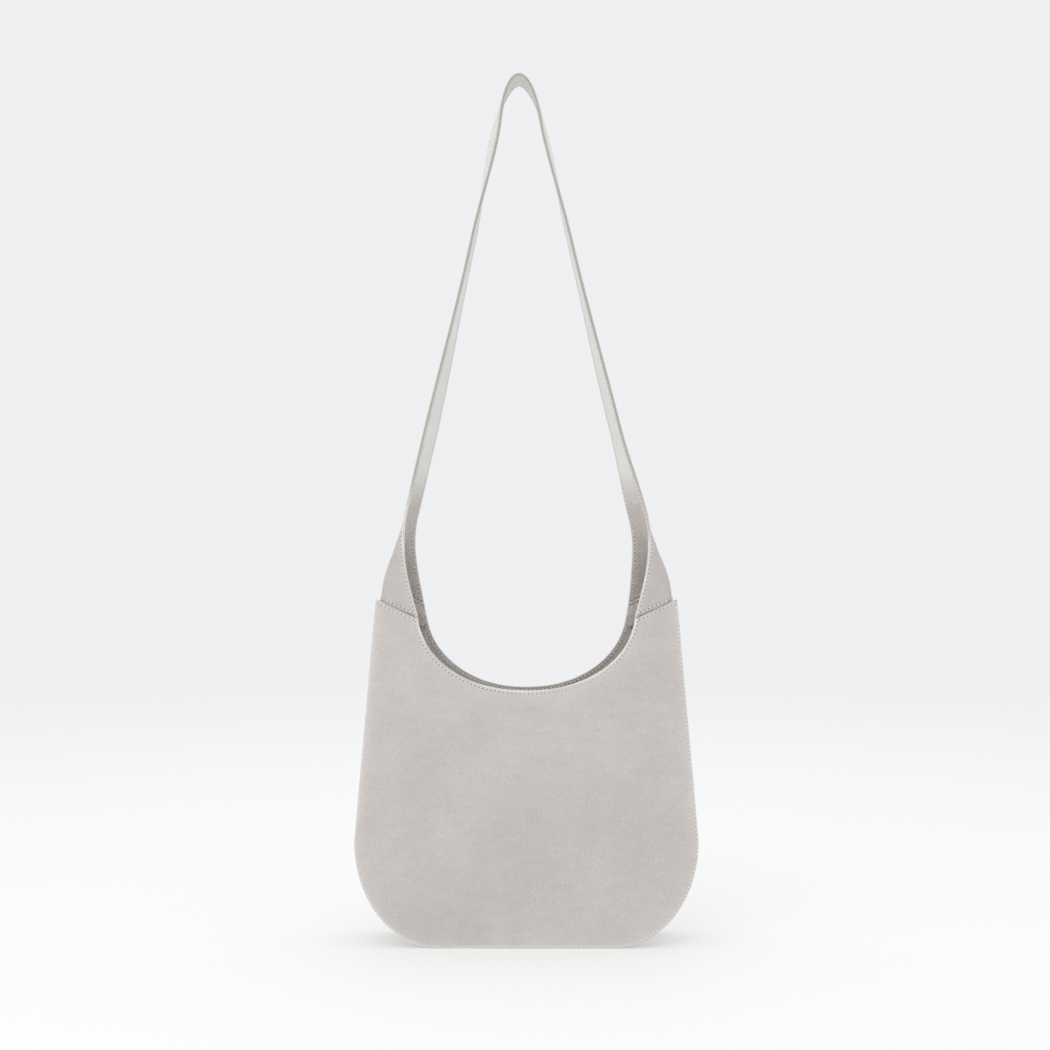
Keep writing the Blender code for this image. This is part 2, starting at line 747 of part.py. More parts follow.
def strap():
    """Both layers of the strap, with a short bend at each root on which it hinges."""
    hinge = joint_empty("strap_hinge", (0.0, 0.0, STRAP_HINGE_HEIGHT))
    last = len(strap_path()) - 1
    layers = (
        ("outer", 0.0, LEATHER, STRAP_SUEDE),
        ("lining", LEATHER + CLEARANCE, STRAP_LINING, SUEDE_LINING),
    )
    for layer, *shape in layers:
        band = strap_band("strap_" + layer, BEND_STEPS, last - BEND_STEPS, *shape)
        hang_on(band, hinge)
        strap_band("strap_bend_" + layer + "_right", 0, BEND_STEPS, *shape)
        strap_band("strap_bend_" + layer + "_left", last - BEND_STEPS, last, *shape)


# ---------------------------------------------------------------- magnetic snap


def snap_half(name, side, boss):
    """One half of the snap on a lining, with its shank through the lining into a washer."""
    height = RIM_HEIGHT - SNAP_DROP
    frame = lining_frame(0.0, height, side)
    low = CLEARANCE + SNAP_STANDOFF
    top = low + SNAP_THICKNESS
    tail = -BAG_LINING - CLEARANCE - WASHER_THICKNESS
    if boss:
        tip = top + SNAP_BOSS_HEIGHT
        crown = [(SNAP_BOSS_RADIUS, top), (SNAP_BOSS_RADIUS, tip), (0.0, tip)]
    else:
        recess = SNAP_BOSS_RADIUS + 2 * CLEARANCE
        crown = [(recess, top), (recess, top - SNAP_BOSS_HEIGHT), (0.0, top - SNAP_BOSS_HEIGHT)]
    profile = [(0.0, tail), (SNAP_SHANK_RADIUS, tail), (SNAP_SHANK_RADIUS, low), (SNAP_RADIUS, low)]
    profile += [(SNAP_RADIUS, top - SNAP_ROUNDING), (SNAP_RADIUS - SNAP_ROUNDING, top)] + crown
    turned(name, profile, frame, METAL)
    hole = SNAP_SHANK_RADIUS + CLEARANCE
    near = -BAG_LINING - CLEARANCE
    washer = [(hole, near), (hole, tail), (WASHER_RADIUS, tail), (WASHER_RADIUS, near)]
    turned(name + "_washer", washer, frame, METAL)
    builder = bmesh.new()
    place = frame @ Matrix.Translation((0.0, 0.0, -BAG_LINING / 2))
    bmesh.ops.create_cone(
        builder, cap_ends=True, segments=ROUND_STEPS,
        radius1=hole, radius2=hole, depth=4 * BAG_LINING, matrix=place,
    )
    return cutter(name + "_hole", builder)


# ---------------------------------------------------------------- zip pocket


def welt(frame):
    """Leather frame round the zip."""
    low = CLEARANCE
    high = low + WELT_THICKNESS
    obj = block(
        "pocket_welt", frame,
        (-ZIP_HALF_LENGTH - WELT_BORDER, -ZIP_SLOT_HALF - WELT_BORDER, low),
        (ZIP_HALF_LENGTH + WELT_BORDER, ZIP_SLOT_HALF + WELT_BORDER, high), SUEDE,
    )
    boolean(obj, slot_cutter("welt_slot", frame, low - WELT_THICKNESS, high + WELT_THICKNESS))


def slot_cutter(name, frame, low, high):
    builder = bmesh.new()
    add_block(
        builder, frame, (-ZIP_HALF_LENGTH, -ZIP_SLOT_HALF, low), (ZIP_HALF_LENGTH, ZIP_SLOT_HALF, high)
    )
    return cutter(name, builder)


def zip_chain(frame):
    """Tapes behind the lining and coils in the slot, which stand apart for the slider's post."""
    front = -BAG_LINING - CLEARANCE
    back, top = zip_levels()
    inner = COIL_GAP / 2
    outer = inner + COIL_SIZE
    reach = ZIP_HALF_LENGTH + WELT_BORDER / 2
    for name, sign in (("upper", 1), ("lower", -1)):
        tape = sorted((sign * (outer + CLEARANCE), sign * (outer + TAPE_WIDTH)))
        block(
            "zip_tape_" + name, frame,
            (-reach, tape[0], back), (reach, tape[1], front), TAPE,
        )
        coil = sorted((sign * inner, sign * outer))
        length = ZIP_HALF_LENGTH - CLEARANCE
        block(
            "zip_coil_" + name, frame,
            (-length, coil[0], back), (length, coil[1], top), COIL,
        )


def zip_levels():
    """Heights above the lining's inner face of the coils' back and front."""
    back = -BAG_LINING - CLEARANCE - TAPE_THICKNESS
    return back, back + COIL_SIZE


def zip_stops(frame):
    low = zip_levels()[1] + CLEARANCE
    half = COIL_GAP / 2 + COIL_SIZE
    for name, sign in (("start", 1), ("end", -1)):
        reach = ZIP_HALF_LENGTH - CLEARANCE
        ends = sorted((sign * reach, sign * (reach - STOP_LENGTH)))
        block("zip_stop_" + name, frame, (ends[0], -half, low), (ends[1], half, low + SLIDER_PLATE), METAL)


def zip_slider(frame, place):
    """Two plates joined by a post between the coils, with two ears that hold the pull's bar."""
    coil_back, coil_top = zip_levels()
    plate = coil_top + CLEARANCE
    face = plate + SLIDER_PLATE
    bar = face + PULL_EYE_RADIUS + PULL_RIM + CLEARANCE
    ear_inner = PULL_HALF_WIDTH + CLEARANCE
    ear_outer = ear_inner + SLIDER_EAR_THICKNESS
    ear = SLIDER_EAR_HALF_LENGTH
    ear_top = bar + PULL_EYE_RADIUS
    post = COIL_GAP / 2 - CLEARANCE
    overlap = UNION_OVERLAP
    local = frame @ Matrix.Translation((place, 0.0, 0.0))
    blocks = [
        ((-SLIDER_HALF_LENGTH, -post, coil_back - CLEARANCE - overlap), (0.0, post, plate + overlap)),
        ((-SLIDER_HALF_LENGTH, -SLIDER_HALF_WIDTH, coil_back - CLEARANCE - SLIDER_PLATE),
         (SLIDER_HALF_LENGTH, SLIDER_HALF_WIDTH, coil_back - CLEARANCE)),
        ((-ear, ear_inner, face - overlap), (ear, ear_outer, ear_top)),
        ((-ear, -ear_outer, face - overlap), (ear, -ear_inner, ear_top)),
        ((-PULL_BAR_RADIUS, -ear_outer + overlap, bar - PULL_BAR_RADIUS),
         (PULL_BAR_RADIUS, ear_outer - overlap, bar + PULL_BAR_RADIUS)),
    ]
    body = block(
        "zip_slider", local,
        (-SLIDER_HALF_LENGTH, -SLIDER_HALF_WIDTH, plate),
        (SLIDER_HALF_LENGTH, SLIDER_HALF_WIDTH, face), METAL,
    )
    for index, (low, high) in enumerate(blocks):
        builder = bmesh.new()
        add_block(builder, local, low, high)
        boolean(body, cutter("slider_piece_%d" % index, builder), "UNION")
    return body, local @ Matrix.Translation((0.0, 0.0, bar))


def zip_pull(frame):
    """Flat pull with an eye round the slider's bar, lying along the zip."""
    builder = bmesh.new()
    steps = PULL_STEPS
    rim = PULL_EYE_RADIUS + PULL_RIM
    loops = []
    for side in (-PULL_HALF_WIDTH, PULL_HALF_WIDTH):
        inner = []
        outer = []
        for step in range(steps):
            angle = 2 * math.pi * (step + 0.5) / steps
            turn = Vector((math.cos(angle), 0.0, math.sin(angle)))
            inner.append(builder.verts.new(frame @ (turn * PULL_EYE_RADIUS + Vector((0.0, side, 0.0)))))
            spot = turn * rim
            if step in (steps // 2 - 1, steps // 2):
                lift = PULL_HALF_THICKNESS if step < steps // 2 else -PULL_HALF_THICKNESS
                spot = Vector((-PULL_LENGTH, 0.0, lift))
            outer.append(builder.verts.new(frame @ (spot + Vector((0.0, side, 0.0)))))
        loops.append((inner, outer))
    (inner_a, outer_a), (inner_b, outer_b) = loops
    for k in range(steps):
        after = (k + 1) % steps
        builder.faces.new((inner_a[k], inner_a[after], outer_a[after], outer_a[k]))
        builder.faces.new((inner_b[k], outer_b[k], outer_b[after], inner_b[after]))
        builder.faces.new((outer_a[k], outer_a[after], outer_b[after], outer_b[k]))
        builder.faces.new((inner_a[k], inner_b[k], inner_b[after], inner_a[after]))
    return make_object("zip_pull", builder, METAL)


def pocket_bag():
    """Cloth pocket hanging between the back lining and the back panel."""
    depth = LEATHER + CLEARANCE
    columns = POCKET_COLUMNS
    rows = POCKET_ROWS
    top = ZIP_HEIGHT + ZIP_SLOT_HALF + TAPE_WIDTH
    outer = []
    inner = []
    for row in range(rows + 1):
        z = mix(POCKET_FLOOR, top, row / rows)
        across = [mix(-POCKET_HALF_WIDTH, POCKET_HALF_WIDTH, k / columns) for k in range(columns + 1)]
        outer.append([on_panel(x, z, depth, BACK) for x in across])
        inner.append([on_panel(x, z, depth + POCKET_CLOTH, BACK) for x in across])
    thick_sheet("pocket_bag", outer, inner, COTTON)


def zip_pocket(back_lining):
    frame = lining_frame(0.0, ZIP_HEIGHT, BACK)
    boolean(back_lining, slot_cutter("lining_slot", frame, -4 * BAG_LINING, 3 * BAG_LINING))
    welt(frame)
    zip_chain(frame)
    zip_stops(frame)
    slider, pull_frame = zip_slider(frame, SLIDER_START)
    pull = zip_pull(pull_frame)
    pocket_bag()
    slide = joint_empty("zip_slide", (frame @ Matrix.Translation((SLIDER_START, 0.0, 0.0))).translation)
    hinge = joint_empty("zip_pull_hinge", pull_frame.translation, slide)
    for modifier in slider.modifiers:
        hang_on(modifier.object, slide)
    hang_on(slider, slide)
    hang_on(pull, hinge)


# ---------------------------------------------------------------- the whole bag


def main():
    for obj in list(bpy.data.objects):
        bpy.data.objects.remove(obj, do_unlink=True)
    panel("front_panel", FRONT)
    panel("back_panel", BACK)
    front_lining = lining("front_lining", FRONT)
    back_lining = lining("back_lining", BACK)
    for word, end in (("left", LEFT), ("right", RIGHT)):
        gusset("gusset_" + word, end)
        gusset_lining("gusset_lining_" + word, end)
        yoke("yoke_" + word, end)
        yoke_lining("yoke_lining_" + word, end)
    base_board()
    strap()
    boolean(front_lining, snap_half("snap_stud", FRONT, True))
    boolean(back_lining, snap_half("snap_socket", BACK, False))
    zip_pocket(back_lining)


main()
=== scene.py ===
"""Looks of a suede hobo bag: leather sheets, folded yokes, strap, stitching, lining, zip and snap.

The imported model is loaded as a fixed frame. Each leather piece is built again here as a fine sheet on
the same outline, with rounded cut edges, sewn-in stitch lines and suede.
"""

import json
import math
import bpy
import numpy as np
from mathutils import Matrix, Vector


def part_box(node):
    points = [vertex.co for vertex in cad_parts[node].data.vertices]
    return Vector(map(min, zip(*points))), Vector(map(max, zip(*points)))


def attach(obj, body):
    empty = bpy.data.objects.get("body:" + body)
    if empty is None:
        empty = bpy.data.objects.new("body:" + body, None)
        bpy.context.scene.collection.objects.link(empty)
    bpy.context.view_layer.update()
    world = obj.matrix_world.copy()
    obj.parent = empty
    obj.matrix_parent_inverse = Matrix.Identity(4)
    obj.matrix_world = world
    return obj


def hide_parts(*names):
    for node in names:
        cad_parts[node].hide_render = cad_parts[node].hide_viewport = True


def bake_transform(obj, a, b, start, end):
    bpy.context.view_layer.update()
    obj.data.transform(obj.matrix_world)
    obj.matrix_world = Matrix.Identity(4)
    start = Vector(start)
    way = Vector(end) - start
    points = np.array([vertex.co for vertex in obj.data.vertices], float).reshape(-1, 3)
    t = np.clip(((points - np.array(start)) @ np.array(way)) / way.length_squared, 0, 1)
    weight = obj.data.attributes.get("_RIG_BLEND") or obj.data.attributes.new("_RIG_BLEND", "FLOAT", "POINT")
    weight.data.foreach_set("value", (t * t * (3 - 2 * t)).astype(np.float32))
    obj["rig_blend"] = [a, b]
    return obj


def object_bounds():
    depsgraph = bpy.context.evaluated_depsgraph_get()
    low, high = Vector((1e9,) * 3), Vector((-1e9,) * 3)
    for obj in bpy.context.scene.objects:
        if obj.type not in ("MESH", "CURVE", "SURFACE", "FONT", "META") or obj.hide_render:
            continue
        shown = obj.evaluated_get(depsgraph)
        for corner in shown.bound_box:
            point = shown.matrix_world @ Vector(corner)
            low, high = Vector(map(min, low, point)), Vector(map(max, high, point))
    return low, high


bl_info = {
    "name": "Suede Hobo Bag",
    "version": (1, 0, 0),
    "blender": (4, 5, 0),
    "location": "3D View > Sidebar > Hobo Bag",
    "description": "Builds the visible pieces of a suede hobo bag round its packed frame",
    "category": "Object",
}

import bmesh
import bpy
import numpy as np
from bpy.props import FloatProperty, FloatVectorProperty, PointerProperty
from mathutils import Matrix, Vector, noise

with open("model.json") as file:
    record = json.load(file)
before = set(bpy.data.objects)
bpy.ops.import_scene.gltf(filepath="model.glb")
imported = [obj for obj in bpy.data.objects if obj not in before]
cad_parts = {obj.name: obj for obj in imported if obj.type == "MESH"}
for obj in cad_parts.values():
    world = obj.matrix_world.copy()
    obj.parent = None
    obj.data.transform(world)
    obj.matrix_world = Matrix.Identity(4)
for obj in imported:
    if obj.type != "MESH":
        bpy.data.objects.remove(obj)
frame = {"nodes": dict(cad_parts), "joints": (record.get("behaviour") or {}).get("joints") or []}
CAD_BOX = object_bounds()
PANEL_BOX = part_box("front_panel")
YOKE_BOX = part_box("yoke_right")

MM = 0.001
FRONT = -1
BACK = 1
SIDES = {"front": FRONT, "back": BACK}
ENDS = {"left": -1, "right": 1}


# ---------------------------------------------------------------- sizes and colours a user would change


def length(name, text, default):
    return FloatProperty(name=name, description=text, default=default, unit="LENGTH", precision=5)


def colour(name, text, default):
    return FloatVectorProperty(name=name, description=text, default=default, subtype="COLOR", min=0, max=1)


class HoboSizes(bpy.types.PropertyGroup):
    """Sizes of the bag; those that the frame knows take their default from it."""

    half_width: length("Half width", "Widest half of the body", PANEL_BOX[1][0])
    half_depth: length("Half depth", "Half of the body's depth at its base", -PANEL_BOX[0][1])
    shoulder_height: length("Shoulder height", "Top of the shoulder seam", PANEL_BOX[1][2])
    strap_top: length("Strap top", "Highest point of the strap", CAD_BOX[1][2])
    yoke_top: length("Yoke top", "Where the folded yoke has opened into the flat strap", YOKE_BOX[1][2])
    base_half: length("Base half width", "Half of the straight stretch of the base", 0.078)
    corner_rise: length("Corner rise", "Height of the rounded lower corner", 0.095)
    shoulder_half: length("Shoulder half width", "Half width at the shoulder seam", 0.136)
    seam_drop: length("Seam drop", "Fall of the shoulder seam towards the mouth", 0.017)
    rim_height: length("Rim height", "Lowest point of the mouth's rim", 0.230)
    front_mouth: length("Front mouth half width", "Half width of the front rim at the seams", 0.0985)
    back_mouth: length("Back mouth half width", "Half width of the back rim at the seams", 0.093)
    mouth_rise: length("Mouth rise", "Height of the mouth's round curve", 0.075)
    shoulder_depth: length("Shoulder half depth", "Half of the body's depth at the shoulder", 0.025)
    bulge: length("Bulge", "How far the panels stand out", 0.002)
    pinch: length("Mouth pinch", "How far the rim is drawn in at its middle", 0.0095)
    flange: length("Flange", "Width of the gusset's sewn flange", 0.004)
    leather: length("Leather", "Thickness of the suede", 0.0014)
    strap_lining: length("Strap lining", "Thickness of the strap's lining", 0.0012)
    bag_lining: length("Bag lining", "Thickness of the bag's lining", 0.0008)
    strap_width: length("Strap width", "Width of the strap", 0.038)
    stitch_pitch: length("Stitch pitch", "Distance from one stitch to the next", 0.00378)
    stitch_inset: length("Stitch inset", "Distance of the stitching from a rim or strap edge", 0.0026)
    outline_inset: length("Outline stitch inset", "Distance of the stitching from a panel's outline", 0.0012)
    seam_gap: length("Seam gap", "Open groove at the shoulder seams", 0.0010)


class HoboColours(bpy.types.PropertyGroup):
    """Colours of the bag's materials."""

    suede: colour("Suede", "Body suede", (0.538, 0.506, 0.481))
    suede_cloud: colour("Suede cloud", "Rubbed patches of the suede", (0.582, 0.544, 0.517))
    suede_edge: colour("Suede edge", "Cut edges of the leather", (0.87, 0.85, 0.82))
    lining: colour("Lining", "Suede inside the bag", (0.475, 0.440, 0.405))
    strap_inside: colour("Strap inside", "Smooth inner face of the strap", (0.735, 0.718, 0.692))
    strap_outside: colour("Strap outside", "Outer face of the strap above the yokes", (0.690, 0.668, 0.632))
    strap_edge: colour("Strap edge", "Painted cut edge of the strap", (0.500, 0.488, 0.445))
    thread: colour("Thread", "Sewing thread", (0.82, 0.80, 0.77))
    hole: colour("Needle hole", "Shadow in a needle hole", (0.20, 0.18, 0.16))
    metal: colour("Metal", "Snap and zip metal", (0.72, 0.70, 0.66))
    tape: colour("Zip tape", "Woven tape of the zip", (0.42, 0.39, 0.36))


def sizes():
    return bpy.context.scene.hobo_sizes


def colours():
    return bpy.context.scene.hobo_colours


# ---------------------------------------------------------------- the bag's outline and surfaces

CLEARANCE = 0.0003
# Thread: how deep and wide a groove it pulls, and how far it lies below the face
GROOVE_DEPTH = 0.00028
GROOVE_WIDTH = 0.0009
THREAD_SINK = 0.00026
SEAM_STITCH = 0.0027
MOUTH_POWER = 2.1
PINCH_START = 0.155
PINCH_EASE = 1.3
FLAT_HALF = 0.085
GUSSET_HOLLOW = 0.0015
LINING_ROOM = 0.0028
RIM_FADE = 0.018
EDGE_FADE = 0.022
TAB = 0.010
TAB_DEPTH = 0.0035
YOKE_ROOT_X = {-1: 0.109, 1: 0.1055}
FOLD_RADIUS = 0.006
STEP_HEIGHT = 0.010
NECK_X = 0.0232
NECK_HEIGHT = 0.748
STRAP_LEAN = -0.0068
STRAP_CROWN = 0.0006
# Distances from a shoulder seam at which the leather has a row of points
SEAM_STEPS = [0.0045, 0.0034, 0.0027, 0.0020, 0.0013, 0.0007, 0.0003, 0.0]
HINGE_HEIGHT = frame["joints"][0]["pos_m"][2]
BEND_HALF = 0.027
TOP_HANDLE = 0.0105
TWIST = {
    -1: ((0.385, 13.0), (0.450, 13.0), (0.640, 1.0), (0.735, -12.0), (0.792, 0.0)),
    1: ((0.385, 22.0), (0.470, 10.0), (0.640, 1.0), (0.735, -8.0), (0.792, 0.0)),
}


def smoothstep(value):
    value = min(max(value, 0.0), 1.0)
    return value * value * (3.0 - 2.0 * value)


def mix(low, high, share):
    return low + (high - low) * share


def bezier(points, t):
    """Point on the cubic Bezier curve with these four control points."""
    s = 1.0 - t
    weights = (s ** 3, 3 * s * s * t, 3 * s * t * t, t ** 3)
    return tuple(sum(w * p[k] for w, p in zip(weights, points)) for k in range(2))


def run_lengths(points):
    """Distance along a polyline at each of its points."""
    steps = np.linalg.norm(np.diff(points, axis=0), axis=1)
    return np.concatenate([[0.0], np.cumsum(steps)])


def walk(points, distances):
    """Points of a polyline at these distances along it."""
    points = np.asarray(points, float)
    lengths = run_lengths(points)
    return np.stack([np.interp(distances, lengths, points[:, k]) for k in range(points.shape[1])], axis=1)


def mouth_half(side):
    return sizes().front_mouth if side == FRONT else sizes().back_mouth


def seam_height(x):
    z = sizes()
    share = (z.shoulder_half - abs(x)) / (z.shoulder_half - z.front_mouth)
    return z.shoulder_height - z.seam_drop * share


def half_outline(step=0.003):
    """Right half of the outline from the middle of the base to the shoulder: places and outward normals."""
    z = sizes()
    across = z.half_width - z.base_half
    places = []
    normals = []
    count = round(z.base_half / step)
    for k in range(count):
        places.append((z.base_half * k / count, 0.0))
        normals.append((0.0, -1.0))
    count = round(1.45 * z.corner_rise / step)
    for k in range(count):
        angle = math.pi / 2 * k / count
        places.append((z.base_half + across * math.sin(angle), z.corner_rise * (1 - math.cos(angle))))
        normal = Vector((z.corner_rise * math.sin(angle), -across * math.cos(angle))).normalized()
        normals.append(tuple(normal))
    lean = Vector((z.shoulder_height - z.corner_rise, z.half_width - z.shoulder_half)).normalized()
    rise = z.shoulder_height - z.corner_rise
    count = round((rise - SEAM_STEPS[0]) / step)
    shares = [k / count * (1.0 - SEAM_STEPS[0] / rise) for k in range(count)]
    shares += [1.0 - d / rise for d in SEAM_STEPS]
    for share in shares:
        height = mix(z.corner_rise, z.shoulder_height, share)
        places.append((mix(z.half_width, z.shoulder_half, share), height))
        soft = smoothstep(share * 6.0)
        normals.append(tuple(Vector((1.0, 0.0)).lerp(lean, soft).normalized()))
    return np.array(places), np.array(normals)


def whole_outline(inset=0.0):
    """The outline from the left shoulder round the base to the right one, moved in by the inset."""
    places, normals = half_outline()
    half = places - inset * normals
    half[-1, 1] = seam_height(half[-1, 0])
    left = half[::-1][:-1] * (-1, 1)
    left_normals = normals[::-1][:-1] * (-1, 1)
    return np.vstack([left, half]), np.vstack([left_normals, normals])


def outline_half_width(height):
    z = sizes()
    if height >= z.corner_rise:
        share = (height - z.corner_rise) / (z.shoulder_height - z.corner_rise)
        return mix(z.half_width, z.shoulder_half, min(share, 1.0))
    drop = 1.0 - max(height, 0.0) / z.corner_rise
    return z.base_half + (z.half_width - z.base_half) * math.sqrt(1.0 - drop * drop)


def rim_scale(side):
    z = sizes()
    half = mouth_half(side)
    drop = (z.rim_height + z.mouth_rise - seam_height(half)) / z.mouth_rise
    return half / (1.0 - drop ** MOUTH_POWER) ** (1.0 / MOUTH_POWER)


def rim_curve(side, count=300):
    """A panel's rim from the left seam to the right one, in (x, z)."""
    z = sizes()
    angles = np.linspace(-math.pi / 2, math.pi / 2, 2 * count + 1)
    x = mouth_half(side) * np.sin(angles)
    fall = (1.0 - (np.abs(x) / rim_scale(side)) ** MOUTH_POWER) ** (1.0 / MOUTH_POWER)
    return np.stack([x, z.rim_height + z.mouth_rise * (1.0 - fall)], axis=1)


def half_depth(x, height):
    """Distance of a panel's outer face from the bag's middle plane."""
    z = sizes()
    edge = mix(z.half_depth, z.shoulder_depth, min(max(height, 0.0) / z.shoulder_height, 1.0))
    fall = (abs(x) - FLAT_HALF) / (z.half_width - FLAT_HALF)
    bulge = z.bulge * (1.0 - smoothstep(fall)) * math.sin(math.pi * min(height / z.shoulder_height, 1.0))
    inner = max(0.0, 1.0 - (x / z.front_mouth) ** 2) ** 1.5
    climb = max(0.0, (height - PINCH_START) / (z.rim_height - PINCH_START))
    return edge + bulge - z.pinch * inner * min(climb, 1.0) ** PINCH_EASE


def lining_depth(x, height, side):
    """Depth of a lining's outer face below the panel's outer face."""
    z = sizes()
    drop = abs(z.rim_height + z.mouth_rise - height) / z.mouth_rise
    reach = (abs(x) / rim_scale(side)) ** MOUTH_POWER + drop ** MOUTH_POWER
    from_rim = (reach ** (1.0 / MOUTH_POWER) - 1.0) * z.mouth_rise
    from_edge = min(height, outline_half_width(height) - abs(x))
    from_tab = seam_height(x) - TAB - height
    room = LINING_ROOM * smoothstep(from_rim / RIM_FADE) * smoothstep(from_edge / EDGE_FADE)
    return z.leather + CLEARANCE + room * smoothstep(from_tab / EDGE_FADE)


def slack(x, height, side):
    """Soft, shallow unevenness of hanging leather; none near the sewn edges."""
    from_edge = min(height, outline_half_width(height) - abs(x))
    calm = smoothstep(from_edge / 0.05)
    broad = noise.noise(Vector((x * 9.0, side * 3.1, height * 7.0)))
    small = noise.noise(Vector((x * 26.0, side * 7.7, height * 22.0)))
    return calm * (0.0011 * broad + 0.00035 * small)


def lining_frame(x, height, side):
    """Local axes on a lining's inner face: X level, Y up the face and Z into the bag."""
    z = sizes()
    reach = 0.002

    def face(at):
        depth = lining_depth(x, at, side) + z.bag_lining
        return Vector((x, side * (half_depth(x, at) - depth), at))

    up = (face(height + reach) - face(height - reach)).normalized()
    level = Vector((side, 0.0, 0.0))
    axes = Matrix((level, up, level.cross(up))).transposed().to_4x4()
    return Matrix.Translation(face(height)) @ axes


# ---------------------------------------------------------------- mesh tools


def link(name, mesh, materials):
    """Object for a finished mesh; its places are kept so that the grain stays put when the piece bends."""
    for look in materials:
        mesh.materials.append(look)
    places = np.empty(3 * len(mesh.vertices), np.float32)
    mesh.vertices.foreach_get("co", places)
    mesh.attributes.new("place", "FLOAT_VECTOR", "POINT").data.foreach_set("vector", places)
    obj = bpy.data.objects.new(name, mesh)
    bpy.context.scene.collection.objects.link(obj)
    return obj


def grid_normals(grid):
    """Unit normals of a grid of points: rows run one way, columns the other."""
    along_rows = np.gradient(grid, axis=0)
    along_columns = np.gradient(grid, axis=1)
    normals = np.cross(along_columns, along_rows)
    size = np.linalg.norm(normals, axis=2, keepdims=True)
    return normals / np.maximum(size, 1e-12)


def border_loop(rows, columns):
    loop = [(0, j) for j in range(columns - 1)] + [(i, columns - 1) for i in range(rows - 1)]
    loop += [(rows - 1, j) for j in range(columns - 1, 0, -1)] + [(i, 0) for i in range(rows - 1, 0, -1)]
    return loop


# Where the three points of a rounded edge lie on its arc
EDGE_ANGLES = (0.8, math.pi / 2, math.pi - 0.8)


def leather_sheet(name, outer, inner, wear, materials, edge_round=0.75, painted=(0, 0)):
    """Closed sheet of leather with half-round cut edges.

    outer and inner are grids of points, wear is a grid of 0 to 1, and the three materials are
    those of the outer face, the inner face and the cut edge. painted says how many columns of the
    outer face have the cut edge's paint, at the first and at the last column.
    """
    rows, columns = outer.shape[:2]
    count = rows * columns
    verts = [outer.reshape(-1, 3), inner.reshape(-1, 3)]
    wears = [wear.reshape(-1), wear.reshape(-1)]
    faces = []
    looks = []
    for i in range(rows - 1):
        for j in range(columns - 1):
            a = i * columns + j
            quad = (a, a + columns, a + columns + 1, a + 1)
            faces.append(quad)
            looks.append(2 if j < painted[0] or j >= columns - 1 - painted[1] else 0)
            faces.append(tuple(count + k for k in reversed(quad)))
            looks.append(1)
    loop = border_loop(rows, columns)
    arcs = []
    for i, j in loop:
        step_i = 1 if i == 0 else (-1 if i == rows - 1 else 0)
        step_j = 1 if j == 0 else (-1 if j == columns - 1 else 0)
        middle = (outer[i, j] + inner[i, j]) / 2
        within = (outer[i + step_i, j + step_j] + inner[i + step_i, j + step_j]) / 2
        across = outer[i, j] - middle
        away = middle - within
        away -= across * (away @ across) / (across @ across)
        away *= np.linalg.norm(across) * edge_round / max(np.linalg.norm(away), 1e-12)
        arcs.append([middle + across * math.cos(t) + away * math.sin(t) for t in EDGE_ANGLES])
    base = 2 * count
    verts.append(np.array(arcs).reshape(-1, 3))
    wears.append(np.repeat([0.0 if i in (0, rows - 1) else 1.0 for i, _ in loop], 3))
    for k, (i, j) in enumerate(loop):
        after = (k + 1) % len(loop)
        m, n = loop[after]
        here = [i * columns + j] + [base + 3 * k + s for s in range(3)] + [count + i * columns + j]
        there = [m * columns + n] + [base + 3 * after + s for s in range(3)] + [count + m * columns + n]
        at_seam = i == m and i in (0, rows - 1)
        for s in range(4):
            faces.append((here[s], there[s], there[s + 1], here[s + 1]))
            looks.append(0 if at_seam else 2)
    mesh = bpy.data.meshes.new(name)
    mesh.from_pydata(np.vstack(verts).tolist(), [], faces)
    mesh.polygons.foreach_set("material_index", looks)
    mesh.shade_smooth()
    attribute = mesh.attributes.new("wear", "FLOAT", "POINT")
    attribute.data.foreach_set("value", np.concatenate(wears).astype(np.float32))
    builder = bmesh.new()
    builder.from_mesh(mesh)
    bmesh.ops.recalc_face_normals(builder, faces=builder.faces)
    builder.to_mesh(mesh)
    builder.free()
    mesh.set_sharp_from_angle(angle=math.radians(70))
    return link(name, mesh, materials)


def turned(name, profile, place, materials, steps=40):
    """Solid turned about a frame's Z axis from (radius, height) points; it starts and ends on the axis."""
    builder = bmesh.new()
    rings = []
    for radius, height in profile:
        count = 1 if radius == 0.0 else steps
        ring = []
        for k in range(count):
            angle = 2 * math.pi * k / steps
            spot = Vector((radius * math.cos(angle), radius * math.sin(angle), height))
            ring.append(builder.verts.new(place @ spot))
        rings.append(ring)
    for ring, following in zip(rings, rings[1:]):
        for k in range(steps):
            after = (k + 1) % steps
            corners = []
            for vert in (ring[k % len(ring)], ring[after % len(ring)], following[after % len(following)],
                         following[k % len(following)]):
                if vert not in corners:
                    corners.append(vert)
            if len(corners) > 2:
                builder.faces.new(corners)
    bmesh.ops.recalc_face_normals(builder, faces=builder.faces)
    mesh = bpy.data.meshes.new(name)
    builder.to_mesh(mesh)
    builder.free()
    mesh.shade_smooth()
    mesh.set_sharp_from_angle(angle=math.radians(40))
    return link(name, mesh, materials)


def box_mesh(name, place, low, high, materials, bevel=0.0):
    builder = bmesh.new()
    centre = (Vector(low) + Vector(high)) / 2
    size = Vector(high) - Vector(low)
    fitted = Matrix.Translation(centre) @ Matrix.Diagonal((*size, 1.0))
    bmesh.ops.create_cube(builder, size=1.0, matrix=fitted)
    if bevel:
        bmesh.ops.bevel(builder, geom=builder.edges[:], offset=bevel, segments=3, profile=0.5, affect="EDGES")
    bmesh.ops.transform(builder, matrix=place, verts=builder.verts)
    mesh = bpy.data.meshes.new(name)
    builder.to_mesh(mesh)
    builder.free()
    mesh.shade_smooth()
    mesh.set_sharp_from_angle(angle=math.radians(50))
    return link(name, mesh, materials)


